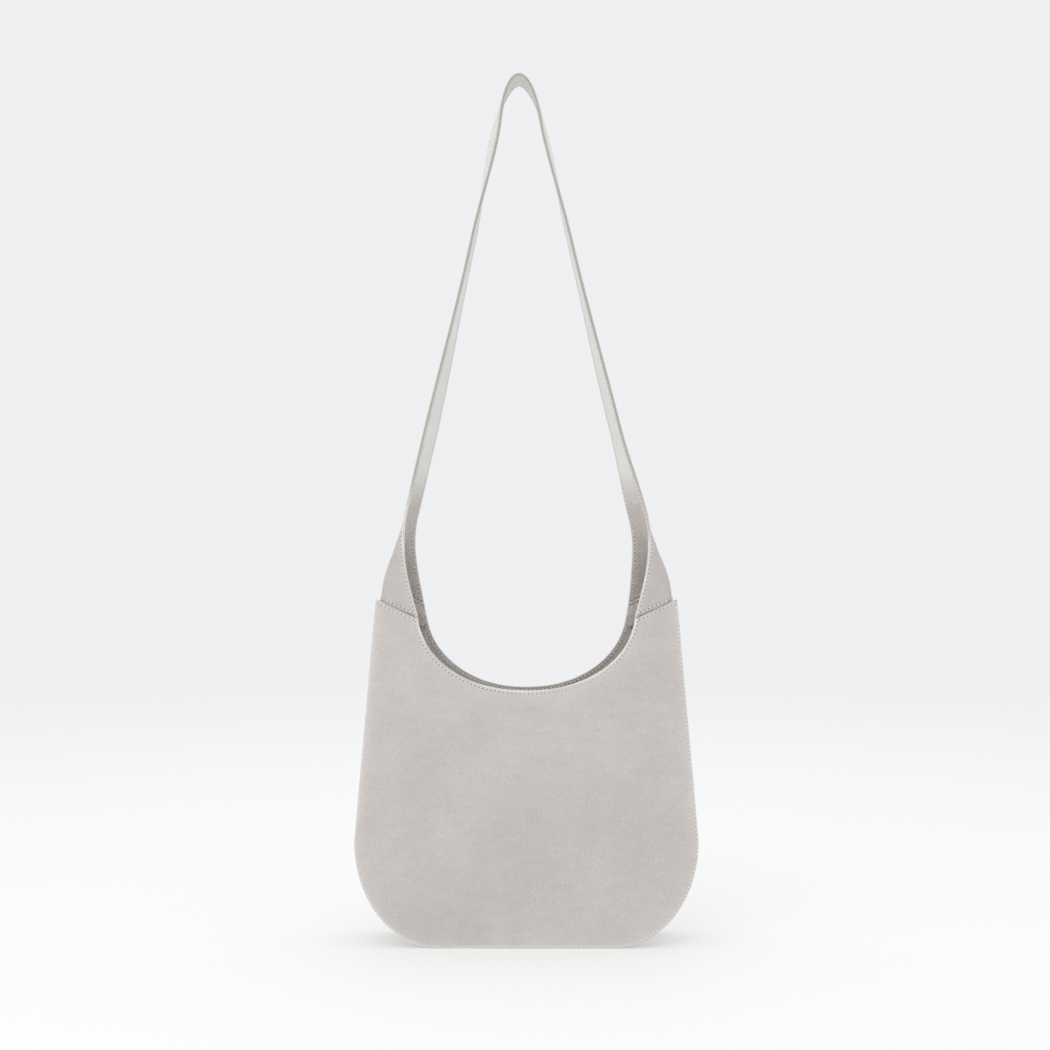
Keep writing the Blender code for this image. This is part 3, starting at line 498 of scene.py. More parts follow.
def cut_away(obj, tool):
    """Cut the tool's shape out of the object, then remove the tool."""
    modifier = obj.modifiers.new("cut", "BOOLEAN")
    modifier.operation = "DIFFERENCE"
    modifier.solver = "EXACT"
    modifier.object = tool
    bake(obj)
    bpy.data.objects.remove(tool, do_unlink=True)


def bake(obj):
    """Turn the object with its modifiers into a plain mesh."""
    graph = bpy.context.evaluated_depsgraph_get()
    shown = obj.evaluated_get(graph)
    mesh = bpy.data.meshes.new_from_object(shown, preserve_all_data_layers=True, depsgraph=graph)
    obj.modifiers.clear()
    obj.data = mesh


def finish_piece(obj, body, slot, *nodes):
    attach(obj, body)
    if nodes:
        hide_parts(*nodes)


# ---------------------------------------------------------------- node trees


class Net:
    """Adds nodes to a tree and wires them; any value may be a constant or another node's socket."""

    def __init__(self, tree):
        self.tree = tree

    def set(self, socket, value):
        if isinstance(value, bpy.types.NodeSocket):
            self.tree.links.new(value, socket)
        else:
            socket.default_value = value

    def add(self, kind, values=None, **settings):
        node = self.tree.nodes.new(kind)
        for name, value in settings.items():
            setattr(node, name, value)
        for key, value in (values or {}).items():
            self.set(node.inputs[key], value)
        return node.outputs

    def math(self, operation, *values):
        return self.add("ShaderNodeMath", dict(enumerate(values)), operation=operation)[0]

    def noise(self, place, scale, detail=3.0, roughness=0.5):
        values = {"Vector": place, "Scale": scale, "Detail": detail, "Roughness": roughness}
        return self.add("ShaderNodeTexNoise", values)["Fac"]

    def stretched(self, place, scale):
        return self.add("ShaderNodeMapping", {"Vector": place, "Scale": scale})[0]

    def ramp(self, value, low, high, at_low=0.0, at_high=1.0):
        values = {"Value": value, "From Min": low, "From Max": high, "To Min": at_low, "To Max": at_high}
        return self.add("ShaderNodeMapRange", values, interpolation_type="SMOOTHSTEP")[0]

    def mix(self, share, low, high):
        return self.add("ShaderNodeMix", {0: share, 6: low, 7: high}, data_type="RGBA")[2]

    def bump(self, height, distance, strength):
        return self.add("ShaderNodeBump", {"Height": height, "Distance": distance, "Strength": strength})[0]

    def attribute(self, name, output="Fac"):
        return self.add("ShaderNodeAttribute", attribute_name=name)[output]

    def place(self):
        return self.add("ShaderNodeTexCoord")["Object"]


def new_group(name, kind, inputs, outputs):
    """A node group, the sockets that its start gives and those that its end takes."""
    group = bpy.data.node_groups.new(name, kind)
    for label, socket_type, default in inputs:
        socket = group.interface.new_socket(name=label, in_out="INPUT", socket_type=socket_type)
        if default is not None:
            socket.default_value = default
    for label, socket_type in outputs:
        group.interface.new_socket(name=label, in_out="OUTPUT", socket_type=socket_type)
    start = group.nodes.new("NodeGroupInput")
    end = group.nodes.new("NodeGroupOutput")
    return group, start.outputs, end.inputs


# ---------------------------------------------------------------- materials


def material(name, fill, **values):
    """The material of this name; a new one gets the shader inputs that fill returns."""
    look = bpy.data.materials.get(name)
    if look is None:
        look = bpy.data.materials.new(name)
        look.use_nodes = True
        net = Net(look.node_tree)
        shader = look.node_tree.nodes["Principled BSDF"]
        for key, value in fill(net, **values).items():
            net.set(shader.inputs[key], value)
    return look


def opaque(value, shade=1.0):
    return (*(shade * c for c in value), 1.0)


def suede_group():
    """Brushed nap: cloudy rubbed patches, a fine pile and paler worn places."""
    found = bpy.data.node_groups.get("Suede Nap")
    if found:
        return found
    group, start, end = new_group(
        "Suede Nap",
        "ShaderNodeTree",
        (
            ("Place", "NodeSocketVector", None),
            ("Colour", "NodeSocketColor", None),
            ("Rubbed Colour", "NodeSocketColor", None),
            ("Worn Colour", "NodeSocketColor", None),
            ("Wear", "NodeSocketFloat", 0.0),
            ("Patch Scale", "NodeSocketFloat", 13.0),
            ("Pile Scale", "NodeSocketFloat", 780.0),
            ("Pile Contrast", "NodeSocketFloat", 0.16),
            ("Pile Depth", "NodeSocketFloat", 0.4),
        ),
        (("Colour", "NodeSocketColor"), ("Roughness", "NodeSocketFloat"), ("Normal", "NodeSocketVector")),
    )
    net = Net(group)
    place = start["Place"]
    patches = net.noise(place, start["Patch Scale"], 4.0, 0.55)
    brushed = net.noise(net.stretched(place, (1.0, 1.0, 2.2)), 62.0, 3.0, 0.6)
    pile = net.noise(place, start["Pile Scale"], 2.0, 0.65)
    fibre = net.noise(place, net.math("MULTIPLY", start["Pile Scale"], 2.7), 1.0)
    rubbed = net.mix(net.ramp(patches, 0.34, 0.68), start["Colour"], start["Rubbed Colour"])
    shade = 1.0
    for value, spread in ((brushed, 0.16), (pile, start["Pile Contrast"]), (fibre, 0.30)):
        shade = net.math("ADD", shade, net.math("MULTIPLY", net.math("SUBTRACT", value, 0.5), spread))
    shaded = net.add("ShaderNodeVectorMath", {0: rubbed, "Scale": shade}, operation="SCALE")[0]
    wear = net.math("MULTIPLY", start["Wear"], net.math("ADD", 0.55, net.math("MULTIPLY", pile, 0.9)))
    net.set(end["Colour"], net.mix(net.math("MINIMUM", wear, 1.0), shaded, start["Worn Colour"]))
    net.set(end["Roughness"], net.math("ADD", 0.86, net.math("MULTIPLY", patches, 0.14)))
    height = net.math("ADD", net.math("MULTIPLY", pile, 0.65), net.math("MULTIPLY", fibre, 0.35))
    net.set(end["Normal"], net.bump(height, 0.00035, start["Pile Depth"]))
    return group


def suede(net, base, rubbed, wear_share=0.35, pile_scale=900.0, contrast=0.48, depth=0.5, sheen=0.25,
          upper=None):
    """Suede, worn where the piece's wear is high; upper is its colour where the piece's tone reaches 1."""
    values = {
        "Place": net.attribute("place", "Vector"),
        "Colour": opaque(base),
        "Rubbed Colour": opaque(rubbed),
        "Worn Colour": opaque(colours().suede_edge),
        "Wear": net.math("MULTIPLY", net.attribute("wear"), wear_share),
        "Pile Scale": pile_scale,
        "Pile Contrast": contrast,
        "Pile Depth": depth,
    }
    if upper:
        tone = net.attribute("tone")
        calmer = net.math("SUBTRACT", 1.0, net.math("MULTIPLY", tone, 0.88))
        values["Colour"] = net.mix(tone, values["Colour"], opaque(upper))
        values["Rubbed Colour"] = net.mix(tone, values["Rubbed Colour"], opaque(upper, 1.05))
        values["Pile Contrast"] = net.math("MULTIPLY", calmer, contrast)
        values["Pile Depth"] = net.math("MULTIPLY", calmer, depth)
    nap = net.add("ShaderNodeGroup", values, node_tree=suede_group())
    return {
        "Base Color": nap["Colour"],
        "Roughness": nap["Roughness"],
        "Normal": nap["Normal"],
        "Specular IOR Level": 0.25,
        "Sheen Weight": sheen,
        "Sheen Roughness": 0.45,
    }


def body_suede():
    return material("body_suede", suede, base=colours().suede, rubbed=colours().suede_cloud)


def strap_suede():
    base = [0.93 * c for c in colours().suede]
    return material("strap_suede", suede, base=base, rubbed=colours().suede, wear_share=0.45, contrast=0.40,
                    upper=colours().strap_outside)


# A suede's rough side shows a longer pile
ROUGH = {"pile_scale": 480.0, "depth": 0.8}


def flesh_side():
    return material("flesh_side", suede, base=colours().lining, rubbed=colours().suede, wear_share=0.2,
                    contrast=0.9, **ROUGH)


def lining_suede():
    return material("lining_suede", suede, base=colours().lining, rubbed=colours().suede, wear_share=0.25,
                    contrast=1.1, **ROUGH)


def strap_lining_suede():
    rubbed = [1.08 * c for c in colours().lining]
    return material("strap_lining_suede", suede, base=colours().lining, rubbed=rubbed, contrast=1.0,
                    upper=colours().strap_inside, **ROUGH)


def cut_edge(name="cut_edge", upper=None):
    """Sanded and sealed cut edge, paler than the suede."""
    return material(name, suede, base=colours().suede_edge, rubbed=colours().suede_cloud, wear_share=0.0,
                    pile_scale=1500.0, contrast=0.22, depth=0.35, sheen=0.1, upper=upper)


def strap_cut_edge():
    """Cut edge of the strap and its yokes: pale at the yokes, painted darker along the strap."""
    return cut_edge("strap_cut_edge", colours().strap_edge)


def thread(net):
    twist = net.noise(net.place(), 2600.0, 2.0)
    return {
        "Base Color": net.mix(twist, opaque(colours().thread, 0.78), opaque(colours().thread)),
        "Normal": net.bump(twist, 0.0001, 0.5),
        "Roughness": 0.6,
        "Sheen Weight": 0.2,
    }


def needle_hole(net):
    grain = net.noise(net.place(), 900.0)
    shadow = net.mix(grain, opaque(colours().hole), opaque(colours().hole, 1.5))
    return {"Base Color": shadow, "Roughness": 0.95}


def satin_metal(net):
    """Plated metal with faint brushing and fingering."""
    place = net.place()
    brushing = net.noise(net.stretched(place, (60.0, 900.0, 900.0)), 3.0, 3.0)
    smears = net.noise(place, 160.0, 3.0)
    return {
        "Base Color": net.mix(brushing, opaque(colours().metal, 0.8), opaque(colours().metal)),
        "Roughness": net.math("ADD", 0.2, net.math("MULTIPLY", smears, 0.22)),
        "Normal": net.bump(brushing, 0.00003, 0.4),
        "Metallic": 1.0,
    }


def woven(net, base, pitch):
    """Plain weave of the given thread pitch."""
    place = net.add("ShaderNodeSeparateXYZ", {0: net.place()})
    rate = 2 * math.pi / pitch
    warp, weft = (net.math("SINE", net.math("MULTIPLY", place[axis], rate)) for axis in "XZ")
    weave = net.math("ADD", 0.5, net.math("MULTIPLY", net.math("MULTIPLY", warp, weft), 0.5))
    return {
        "Base Color": net.mix(weave, opaque(base, 0.7), opaque(base)),
        "Normal": net.bump(weave, 0.0002, 0.6),
        "Roughness": 0.9,
    }


def studio_floor(net):
    """White floor that fades out towards the plain background."""
    reach = net.add("ShaderNodeVectorMath", {0: net.place()}, operation="LENGTH")["Value"]
    return {
        "Alpha": net.ramp(reach, 0.7, 3.6, 1.0, 0.0),
        "Base Color": (0.59, 0.59, 0.585, 1.0),
        "Emission Color": (1.0, 1.0, 1.0, 1.0),
        "Emission Strength": 0.33,
        "Roughness": 0.7,
        "Specular IOR Level": 0.1,
    }


# ---------------------------------------------------------------- rows of stitches and teeth


def row_tree():
    """Geometry nodes that set one small rounded body at each step along guide lines."""
    found = bpy.data.node_groups.get("Row Along Guide")
    if found:
        return found
    defaults = {"Pitch": 0.004, "Length": 0.003, "Width": 0.0006, "Height": 0.0004, "Shift": 0.0, "Lift": 0.0}
    tree, start, end = new_group(
        "Row Along Guide",
        "GeometryNodeTree",
        (
            ("Geometry", "NodeSocketGeometry", None),
            *((label, "NodeSocketFloat", default) for label, default in defaults.items()),
            ("Material", "NodeSocketMaterial", None),
        ),
        (("Geometry", "NodeSocketGeometry"),),
    )
    tree.is_modifier = True
    net = Net(tree)
    curve = net.add("GeometryNodeMeshToCurve", {"Mesh": start["Geometry"]})[0]
    steps = net.add("GeometryNodeResampleCurve", {"Curve": curve, "Length": start["Pitch"]}, mode="LENGTH")[0]
    ball = net.add("GeometryNodeMeshUVSphere", {"Segments": 7, "Rings": 4, "Radius": 0.5})["Mesh"]
    extent = {"X": start["Length"], "Y": start["Width"], "Z": start["Height"]}
    size = net.add("ShaderNodeCombineXYZ", extent)[0]
    offset = net.add("ShaderNodeCombineXYZ", {"X": start["Shift"], "Z": start["Lift"]})[0]
    body = net.add("GeometryNodeTransform", {"Geometry": ball, "Translation": offset, "Scale": size})[0]
    face = net.add("GeometryNodeInputNamedAttribute", {"Name": "face"}, data_type="FLOAT_VECTOR")["Attribute"]
    tangent = net.add("GeometryNodeInputTangent")[0]
    axes = {"Primary Axis": face, "Secondary Axis": tangent}
    turn = net.add("FunctionNodeAxesToRotation", axes, primary_axis="Z", secondary_axis="X")[0]
    row = net.add("GeometryNodeInstanceOnPoints", {"Points": steps, "Instance": body, "Rotation": turn})[0]
    real = net.add("GeometryNodeRealizeInstances", {"Geometry": row})[0]
    painted = net.add("GeometryNodeSetMaterial", {"Geometry": real, "Material": start["Material"]})[0]
    net.set(end["Geometry"], painted)
    return tree


def row_along(name, guides, values, look):
    """Plain mesh of a row of small bodies along guide lines, each given as points and face normals."""
    points = []
    faces = []
    edges = []
    for places, normals in guides:
        first = len(points)
        points.extend(np.asarray(places).tolist())
        faces.extend(np.asarray(normals).tolist())
        edges.extend((first + k, first + k + 1) for k in range(len(places) - 1))
    mesh = bpy.data.meshes.new(name)
    mesh.from_pydata(points, edges, [])
    attribute = mesh.attributes.new("face", "FLOAT_VECTOR", "POINT")
    attribute.data.foreach_set("vector", np.array(faces, np.float32).reshape(-1))
    obj = bpy.data.objects.new(name, mesh)
    bpy.context.scene.collection.objects.link(obj)
    modifier = obj.modifiers.new("row", "NODES")
    modifier.node_group = row_tree()
    for item in modifier.node_group.interface.items_tree:
        if item.in_out == "INPUT" and item.name in values:
            modifier[item.identifier] = values[item.name]
        if item.in_out == "INPUT" and item.name == "Material":
            modifier[item.identifier] = look
    bake(obj)
    obj.data.shade_smooth()
    for attribute in list(obj.data.attributes):
        if attribute.name == "face":
            obj.data.attributes.remove(attribute)
    return obj


def sew(name, guides):
    """Threads and needle holes along guide lines."""
    pitch = sizes().stitch_pitch
    thread_size = {"Pitch": pitch, "Length": 0.78 * pitch, "Width": 0.0011, "Height": 0.0010, "Shift": 0.0,
                   "Lift": 0.00015}
    hole_size = {"Pitch": pitch, "Length": 0.0010, "Width": 0.0012, "Height": 0.0005, "Shift": pitch / 2,
                 "Lift": 0.0}
    threads = row_along(name + "_thread", guides, thread_size, material("thread", thread))
    holes = row_along(name + "_holes", guides, hole_size, material("needle_hole", needle_hole))
    return threads, holes


# ---------------------------------------------------------------- body panels


EDGE_STEPS = [0.0, 0.4 * MM, 1.2 * MM, 2.1 * MM, 2.7 * MM, 3.1 * MM, 3.5 * MM, 4.2 * MM, 5.6 * MM, 8.5 * MM]


def panel_lines(side, inset=0.0, middle_rows=26):
    """Grid of (x, z) from the outline to the rim, with each point's distance from the nearer edge."""
    lower, normals = whole_outline(inset)
    lengths = run_lengths(lower)
    fine_rim = rim_curve(side)
    rim_lengths = run_lengths(fine_rim)
    upper = walk(fine_rim, lengths / lengths[-1] * rim_lengths[-1])
    rim_tangent = np.gradient(upper, axis=0)
    rim_tangent /= np.linalg.norm(rim_tangent, axis=1, keepdims=True)
    rim_normal = np.stack([-rim_tangent[:, 1], rim_tangent[:, 0]], axis=1)
    grid = []
    distances = []
    for k in range(len(lower)):
        line = upper[k] - lower[k]
        total = np.linalg.norm(line)
        way = line / total
        at_edge = max(0.35, abs(way @ normals[k]))
        at_rim = max(0.35, abs(way @ rim_normal[k]))
        if k in (0, len(lower) - 1):
            at_edge = at_rim = 1.0
        near = [d / at_edge for d in EDGE_STEPS]
        far = [d / at_rim for d in EDGE_STEPS]
        inside = np.linspace(near[-1], total - far[-1], middle_rows + 2)[1:-1]
        stops = near + list(inside) + [total - d for d in reversed(far)]
        grid.append([lower[k] + way * stop for stop in stops])
        from_edges = EDGE_STEPS + [min(stop * at_edge, (total - stop) * at_rim) for stop in inside]
        distances.append(from_edges + list(reversed(EDGE_STEPS)))
    return np.array(grid), np.array(distances)


def sewn_groove(distance, depth=GROOVE_DEPTH):
    """How far thread pulls the surface in at this distance from a cut edge."""
    return depth * np.exp(-((distance - sizes().stitch_inset) / GROOVE_WIDTH) ** 2)


def seam_roll(distance):
    """How far the turned edge at a shoulder seam rolls in at this distance from it."""
    turned_edge = 0.0009 * math.exp(-((distance / 0.0010) ** 2))
    return turned_edge + 0.0002 * math.exp(-((distance - SEAM_STITCH) / GROOVE_WIDTH) ** 2)


def lay_sheet(lines, distances, side, depth_of, sewn=True):
    """Lift a flat grid onto a panel's surface at the depth that depth_of gives."""
    rows, columns = lines.shape[:2]
    outer = np.zeros((rows, columns, 3))
    for i in range(rows):
        for j in range(columns):
            x, height = lines[i, j]
            depth = depth_of(x, height)
            if sewn:
                depth += sewn_groove(distances[i, j]) + seam_roll(seam_height(x) - height)
            outer[i, j] = (x, side * (half_depth(x, height) - depth + slack(x, height, side)), height)
    return outer


def wear_from(distances, reach=0.0035):
    return np.exp(-distances / reach)


def make_panel(word):
    side = SIDES[word]
    z = sizes()
    lines, distances = panel_lines(side)
    outer = lay_sheet(lines, distances, side, lambda x, h: 0.0)
    inner = outer - np.array((0.0, side * z.leather, 0.0))
    obj = leather_sheet(
        word + "_panel_suede", outer, inner, wear_from(distances), (body_suede(), flesh_side(), cut_edge()),
        painted=(0, 2),
    )
    finish_piece(obj, "bag", "suede_outer", word + "_panel")


def panel_guide(side, points, depth_of, facing=1):
    """Guide line along a panel through (x, z) points, depth_of below its face, with the face normals."""
    places = []
    for x, height in points:
        depth = depth_of(x, height)
        places.append((x, side * (half_depth(x, height) - depth + slack(x, height, side)), height))
    normals = [(0.0, float(facing * side), 0.0)] * len(places)
    return np.array(places), np.array(normals)


def inset_rim(side, distance):
    """A rim curve moved down into the panel, ending on the seams."""
    curve = rim_curve(side, 150)
    tangent = np.gradient(curve, axis=0)
    tangent /= np.linalg.norm(tangent, axis=1, keepdims=True)
    inward = np.stack([tangent[:, 1], -tangent[:, 0]], axis=1)
    moved = curve + inward * distance
    keep = [k for k, (x, height) in enumerate(moved) if height < seam_height(x) - 0.002]
    return moved[keep[0]:keep[-1] + 1]


def seam_line(end, start, stop):
    """Line of stitches below a shoulder seam in (x, z)."""
    return [(end * x, seam_height(x) - SEAM_STITCH) for x in np.linspace(start, stop, 24)]


def bag_guides():
    """All stitch lines that stay with the body."""
    z = sizes()
    outline, _ = whole_outline(z.outline_inset)
    outline = [p for p in outline if p[1] < seam_height(p[0]) - 0.002]
    guides = []
    for side in (FRONT, BACK):
        rim = inset_rim(side, z.stitch_inset)
        seams = [seam_line(end, mouth_half(side) + 0.002, z.shoulder_half - 0.003) for end in (-1, 1)]
        guides += [panel_guide(side, line, lambda x, h: THREAD_SINK) for line in (outline, rim, *seams)]
        # The same rows seen from behind: on the flange, and on the lining inside the mouth
        guides.append(panel_guide(side, outline, lambda x, h: 2 * z.leather + CLEARANCE, -1))
        inside = z.bag_lining - 0.0001
        guides.append(panel_guide(side, rim, lambda x, h: lining_depth(x, h, side) + inside, -1))
    return guides


# ---------------------------------------------------------------- gusset


def hollow_at(height):
    z = sizes()
    climb = (height - z.corner_rise) / (z.shoulder_height - TAB - z.corner_rise)
    return GUSSET_HOLLOW * (1.0 - smoothstep(climb))


def gusset_profile(half, hollow, columns=13):
    """Middle line of the gusset's section in (out, across), from the front flange to the back one."""
    z = sizes()
    bend = 0.0016
    flat = half - z.leather / 2
    web = -z.leather / 2
    line = [(z.flange, -flat), (0.6 * z.flange, -flat), (web + bend, -flat)]
    for step in (1, 2, 3):
        angle = math.pi / 2 * step / 3
        line.append((web + bend - bend * math.sin(angle), -flat + bend - bend * math.cos(angle)))
    for step in range(1, columns):
        share = step / columns
        sag = hollow * math.sin(math.pi * share) ** 0.7
        line.append((web - sag, mix(-flat + bend, flat - bend, share)))
    line += [(out, -across) for out, across in reversed(line[:6])]
    return line


def facing_out(grid, end):
    """Unit normals of a gusset half's grid that point away from the bag."""
    faces = grid_normals(grid)
    middle = faces[len(grid) // 2, grid.shape[1] // 2]
    return faces if middle @ np.array((end, 0.0, -0.3)) >= 0 else -faces


def make_gusset(word):
    end = ENDS[word]
    z = sizes()
    places, normals = half_outline(0.0045)
    places[0, 0] = CLEARANCE / 2
    grid = []
    for k, ((x, height), (nx, nz)) in enumerate(zip(places, normals)):
        half = half_depth(x, height) - z.leather - CLEARANCE
        row = []
        for out, across in gusset_profile(half, hollow_at(height)):
            vx = x + (out - z.flange) * nx
            vz = height + (out - z.flange) * nz
            if k == len(places) - 1:
                vz = seam_height(vx)
            row.append((end * vx, across, vz))
        grid.append(row)
    grid = np.array(grid)
    faces = facing_out(grid, end)
    columns = grid.shape[1]
    from_edge = np.minimum(np.arange(columns), np.arange(columns)[::-1]) * 0.0015
    wear = np.tile(np.exp(-from_edge / 0.002), (len(grid), 1))
    obj = leather_sheet(
        "gusset_%s_suede" % word, grid + faces * z.leather / 2, grid - faces * z.leather / 2, wear,
        (body_suede(), flesh_side(), cut_edge()),
    )
    finish_piece(obj, "bag", "suede_outer", "gusset_" + word)


# ---------------------------------------------------------------- linings


WELT_LOW, WELT_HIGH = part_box("pocket_welt")
ZIP_HEIGHT = (WELT_LOW[2] + WELT_HIGH[2]) / 2
WELT_HALF = (WELT_HIGH[0] - WELT_LOW[0]) / 2
WELT_RISE = (WELT_HIGH[2] - WELT_LOW[2]) / 2
WELT_BORDER = 0.008
SLOT_HALF_LENGTH = WELT_HALF - WELT_BORDER
SLOT_HALF = WELT_RISE - WELT_BORDER


def cut_slot(obj, below):
    """Cut the zip's slot, from this far below the lining's inner face."""
    low, high = (-SLOT_HALF_LENGTH, -SLOT_HALF, -below), (SLOT_HALF_LENGTH, SLOT_HALF, 0.004)
    cut_away(obj, box_mesh("slot", zip_frame(), low, high, ()))


def make_lining(word):
    side = SIDES[word]
    z = sizes()
    lines, distances = panel_lines(side, z.flange + z.leather + CLEARANCE)
    outer = lay_sheet(lines, distances, side, lambda x, h: lining_depth(x, h, side), sewn=False)
    inner = outer - np.array((0.0, side * z.bag_lining, 0.0))
    looks = (flesh_side(), lining_suede(), cut_edge())
    obj = leather_sheet(word + "_lining_suede", outer, inner, wear_from(distances, 0.002), looks)
    if side == BACK:
        cut_slot(obj, 0.004)
    finish_piece(obj, "bag", "suede_inner", word + "_lining")


def make_gusset_lining(word):
    end = ENDS[word]
    z = sizes()
    places, normals = half_outline(0.005)
    places[0, 0] = CLEARANCE / 2
    outer = []
    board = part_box("base_board")[1][2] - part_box("base_board")[0][2]
    for k, ((x, height), (nx, nz)) in enumerate(zip(places, normals)):
        beside = mix(2 * CLEARANCE + board, CLEARANCE, smoothstep(height / z.corner_rise))
        deep = z.leather + hollow_at(height) + beside
        row = []
        for share in np.linspace(-1.0, 1.0, 17):
            sag = 0.0006 * (1.0 - share * share)
            vx = x - (z.flange + deep + sag) * nx
            vz = height - (z.flange + deep + sag) * nz
            if k == len(places) - 1:
                vz = seam_height(vx)
            width = half_depth(vx, vz) - lining_depth(vx, vz, FRONT) - z.bag_lining - 0.0001
            row.append((end * vx, share * width, vz))
        outer.append(row)
    outer = np.array(outer)
    inner = outer - facing_out(outer, end) * z.bag_lining
    wear = np.zeros(outer.shape[:2])
    looks = (flesh_side(), lining_suede(), cut_edge())
    obj = leather_sheet("gusset_lining_%s_suede" % word, outer, inner, wear, looks)
    finish_piece(obj, "bag", "suede_inner", "gusset_lining_" + word)


# ---------------------------------------------------------------- yokes and strap


def twist_at(height, end):
    table = TWIST[end]
    if height <= table[0][0]:
        return math.radians(table[0][1])
    for (low, first), (high, second) in zip(table, table[1:]):
        if height <= high:
            return math.radians(mix(first, second, smoothstep((height - low) / (high - low))))
    return math.radians(table[-1][1])


def yoke_web(end):
    """Side view of a yoke's outer web as a Bezier curve in (x, z), for the right-hand side."""
    z = sizes()
    low, high = z.shoulder_height, z.yoke_top
    root = YOKE_ROOT_X[end]
    web_x = z.shoulder_half - z.flange
    return (
        (web_x, seam_height(web_x)),
        (web_x, mix(low, high, 0.28)),
        (mix(web_x, root, 0.55), mix(low, high, 0.62)),
        (root, high),
    )


def yoke_edge(end, side):
    """Side view of the edge of a yoke's front or back wing."""
    z = sizes()
    low, high = z.shoulder_height, z.yoke_top
    root = YOKE_ROOT_X[end]
    mouth = mouth_half(side)
    return (
        (mouth, seam_height(mouth)),
        (mouth + 0.006, mix(low, high, 0.12)),
        (root + 0.0005, mix(low, high, 0.5)),
        (root, high),
    )


def folded_half(corner, tip, radius, steps=8):
    """Half section in (x, y) from the web's middle round the fold to the wing's edge."""
    corner = Vector(corner)
    tip = Vector(tip)
    wing = tip - corner
    angle = math.atan2(-wing.x, -wing.y)
    reach = math.tan(angle / 2)
    tangent = min(radius * reach, 0.8 * wing.length, 0.8 * abs(corner.y))
    radius = tangent / reach if angle > 1e-4 else 0.0
    centre = Vector((corner.x - radius, corner.y + tangent))
    points = [Vector((corner.x, 0.0))]
    for step in range(steps + 1):
        turn = angle * step / steps
        points.append(centre + Vector((math.cos(turn), -math.sin(turn))) * radius)
    points.append(tip)
    return points


def yoke_row(end, level):
    """A yoke's section at a level from 0 (seam) to 1 (strap), from the front wing's edge to the back wing's.

    It is given for the right-hand side.
    """
    z = sizes()
    web_x, web_z = bezier(yoke_web(end), level)
    edges = {side: bezier(yoke_edge(end, side), level) for side in (FRONT, BACK)}
    fade = smoothstep(level)
    seam_y = half_depth(web_x, z.shoulder_height)
    fold_y = mix(seam_y, 0.40 * z.strap_width, fade)
    edge_y = mix(seam_y, z.strap_width / 2, fade)
    radius = mix(FOLD_RADIUS, 3.0 * FOLD_RADIUS, level)
    turn = Matrix.Rotation(twist_at(z.yoke_top, end) * fade, 2)
    pivot = Vector(((2 * web_x + edges[FRONT][0] + edges[BACK][0]) / 4, 0.0))
    points = []
    for side in (FRONT, BACK):
        edge_x, edge_z = edges[side]
        half = folded_half((web_x, -fold_y), (edge_x, -edge_y), radius)
        for place in list(reversed(half)) if side == FRONT else half[1:]:
            spot = pivot + turn @ (Vector((place.x, -side * place.y)) - pivot)
            share = (place.x - edge_x) / (web_x - edge_x) if web_x - edge_x > 1e-5 else 0.0
            height = mix(edge_z, web_z, min(max(share, 0.0), 1.0))
            height += z.seam_gap * (1.0 - level)
            if level == 0:
                height = seam_height(spot.x) + z.seam_gap
            points.append((spot.x, spot.y, height))
    return np.array(points)


def strap_leg(end, step=0.004):
    """Half of the strap's outer face in (x, z) for the right-hand side, from a yoke up to the top."""
    z = sizes()
    root = YOKE_ROOT_X[end]
    leg = (
        (root, z.yoke_top),
        (root - 0.0305, z.yoke_top + 0.120),
        (NECK_X + 0.026, NECK_HEIGHT - 0.120),
        (NECK_X, NECK_HEIGHT),
    )
    neck = (leg[3], (NECK_X - 0.0044, NECK_HEIGHT + 0.022), (TOP_HANDLE, z.strap_top), (0.0, z.strap_top))
    half = [bezier(leg, t / 200) for t in range(201)] + [bezier(neck, t / 60) for t in range(1, 61)]
    total = run_lengths(np.array(half))[-1]
    count = round(total / step)
    shares = np.array([1.0 - (1.0 - k / count) ** 1.12 for k in range(count + 1)])
    return walk(half, shares * total)


def strap_rows():
    """Sections of the flat strap from the right yoke over the top to the left one."""
    z = sizes()
    right = strap_leg(1)
    left = strap_leg(-1)[::-1][1:] * (-1, 1)
    path = np.vstack([right, left])
    path[:, 0] += STRAP_LEAN * (path[:, 1] - z.yoke_top) / (z.strap_top - z.yoke_top)
    tangent = np.gradient(path, axis=0)
    tangent /= np.linalg.norm(tangent, axis=1, keepdims=True)
    rows = []
    for index, ((x, height), (tx, tz)) in enumerate(zip(path, tangent)):
        outward = np.array((tz, 0.0, -tx))
        turn = twist_at(height, 1 if index < len(right) else -1)
        front = np.array((0.0, -math.cos(turn), 0.0)) + outward * math.sin(turn)
        face = outward * math.cos(turn) + np.array((0.0, math.sin(turn), 0.0))
        row = []
        for share in np.linspace(0.5, -0.5, 9):
            sag = 4 * STRAP_CROWN * share * share
            row.append(np.array((x, 0.0, height)) + front * share * z.strap_width - face * sag)
        rows.append(np.array(row))
    return rows


BAND_STEPS = [0.0, 0.4 * MM, 1.2 * MM, 2.1 * MM, 2.7 * MM, 3.1 * MM, 3.5 * MM, 4.2 * MM, 5.6 * MM]


def even_columns(row, middle=19):
    """A section's points at fixed distances from both edges, with the rest spread evenly."""
    total = run_lengths(row)[-1]
    inside = np.linspace(BAND_STEPS[-1], total - BAND_STEPS[-1], middle + 2)[1:-1]
    stops = BAND_STEPS + list(inside) + [total - d for d in reversed(BAND_STEPS)]
    distances = [min(stop, total - stop) for stop in stops]
    return walk(row, np.array(stops)), np.array(distances)


YOKE_RISE = 0.072
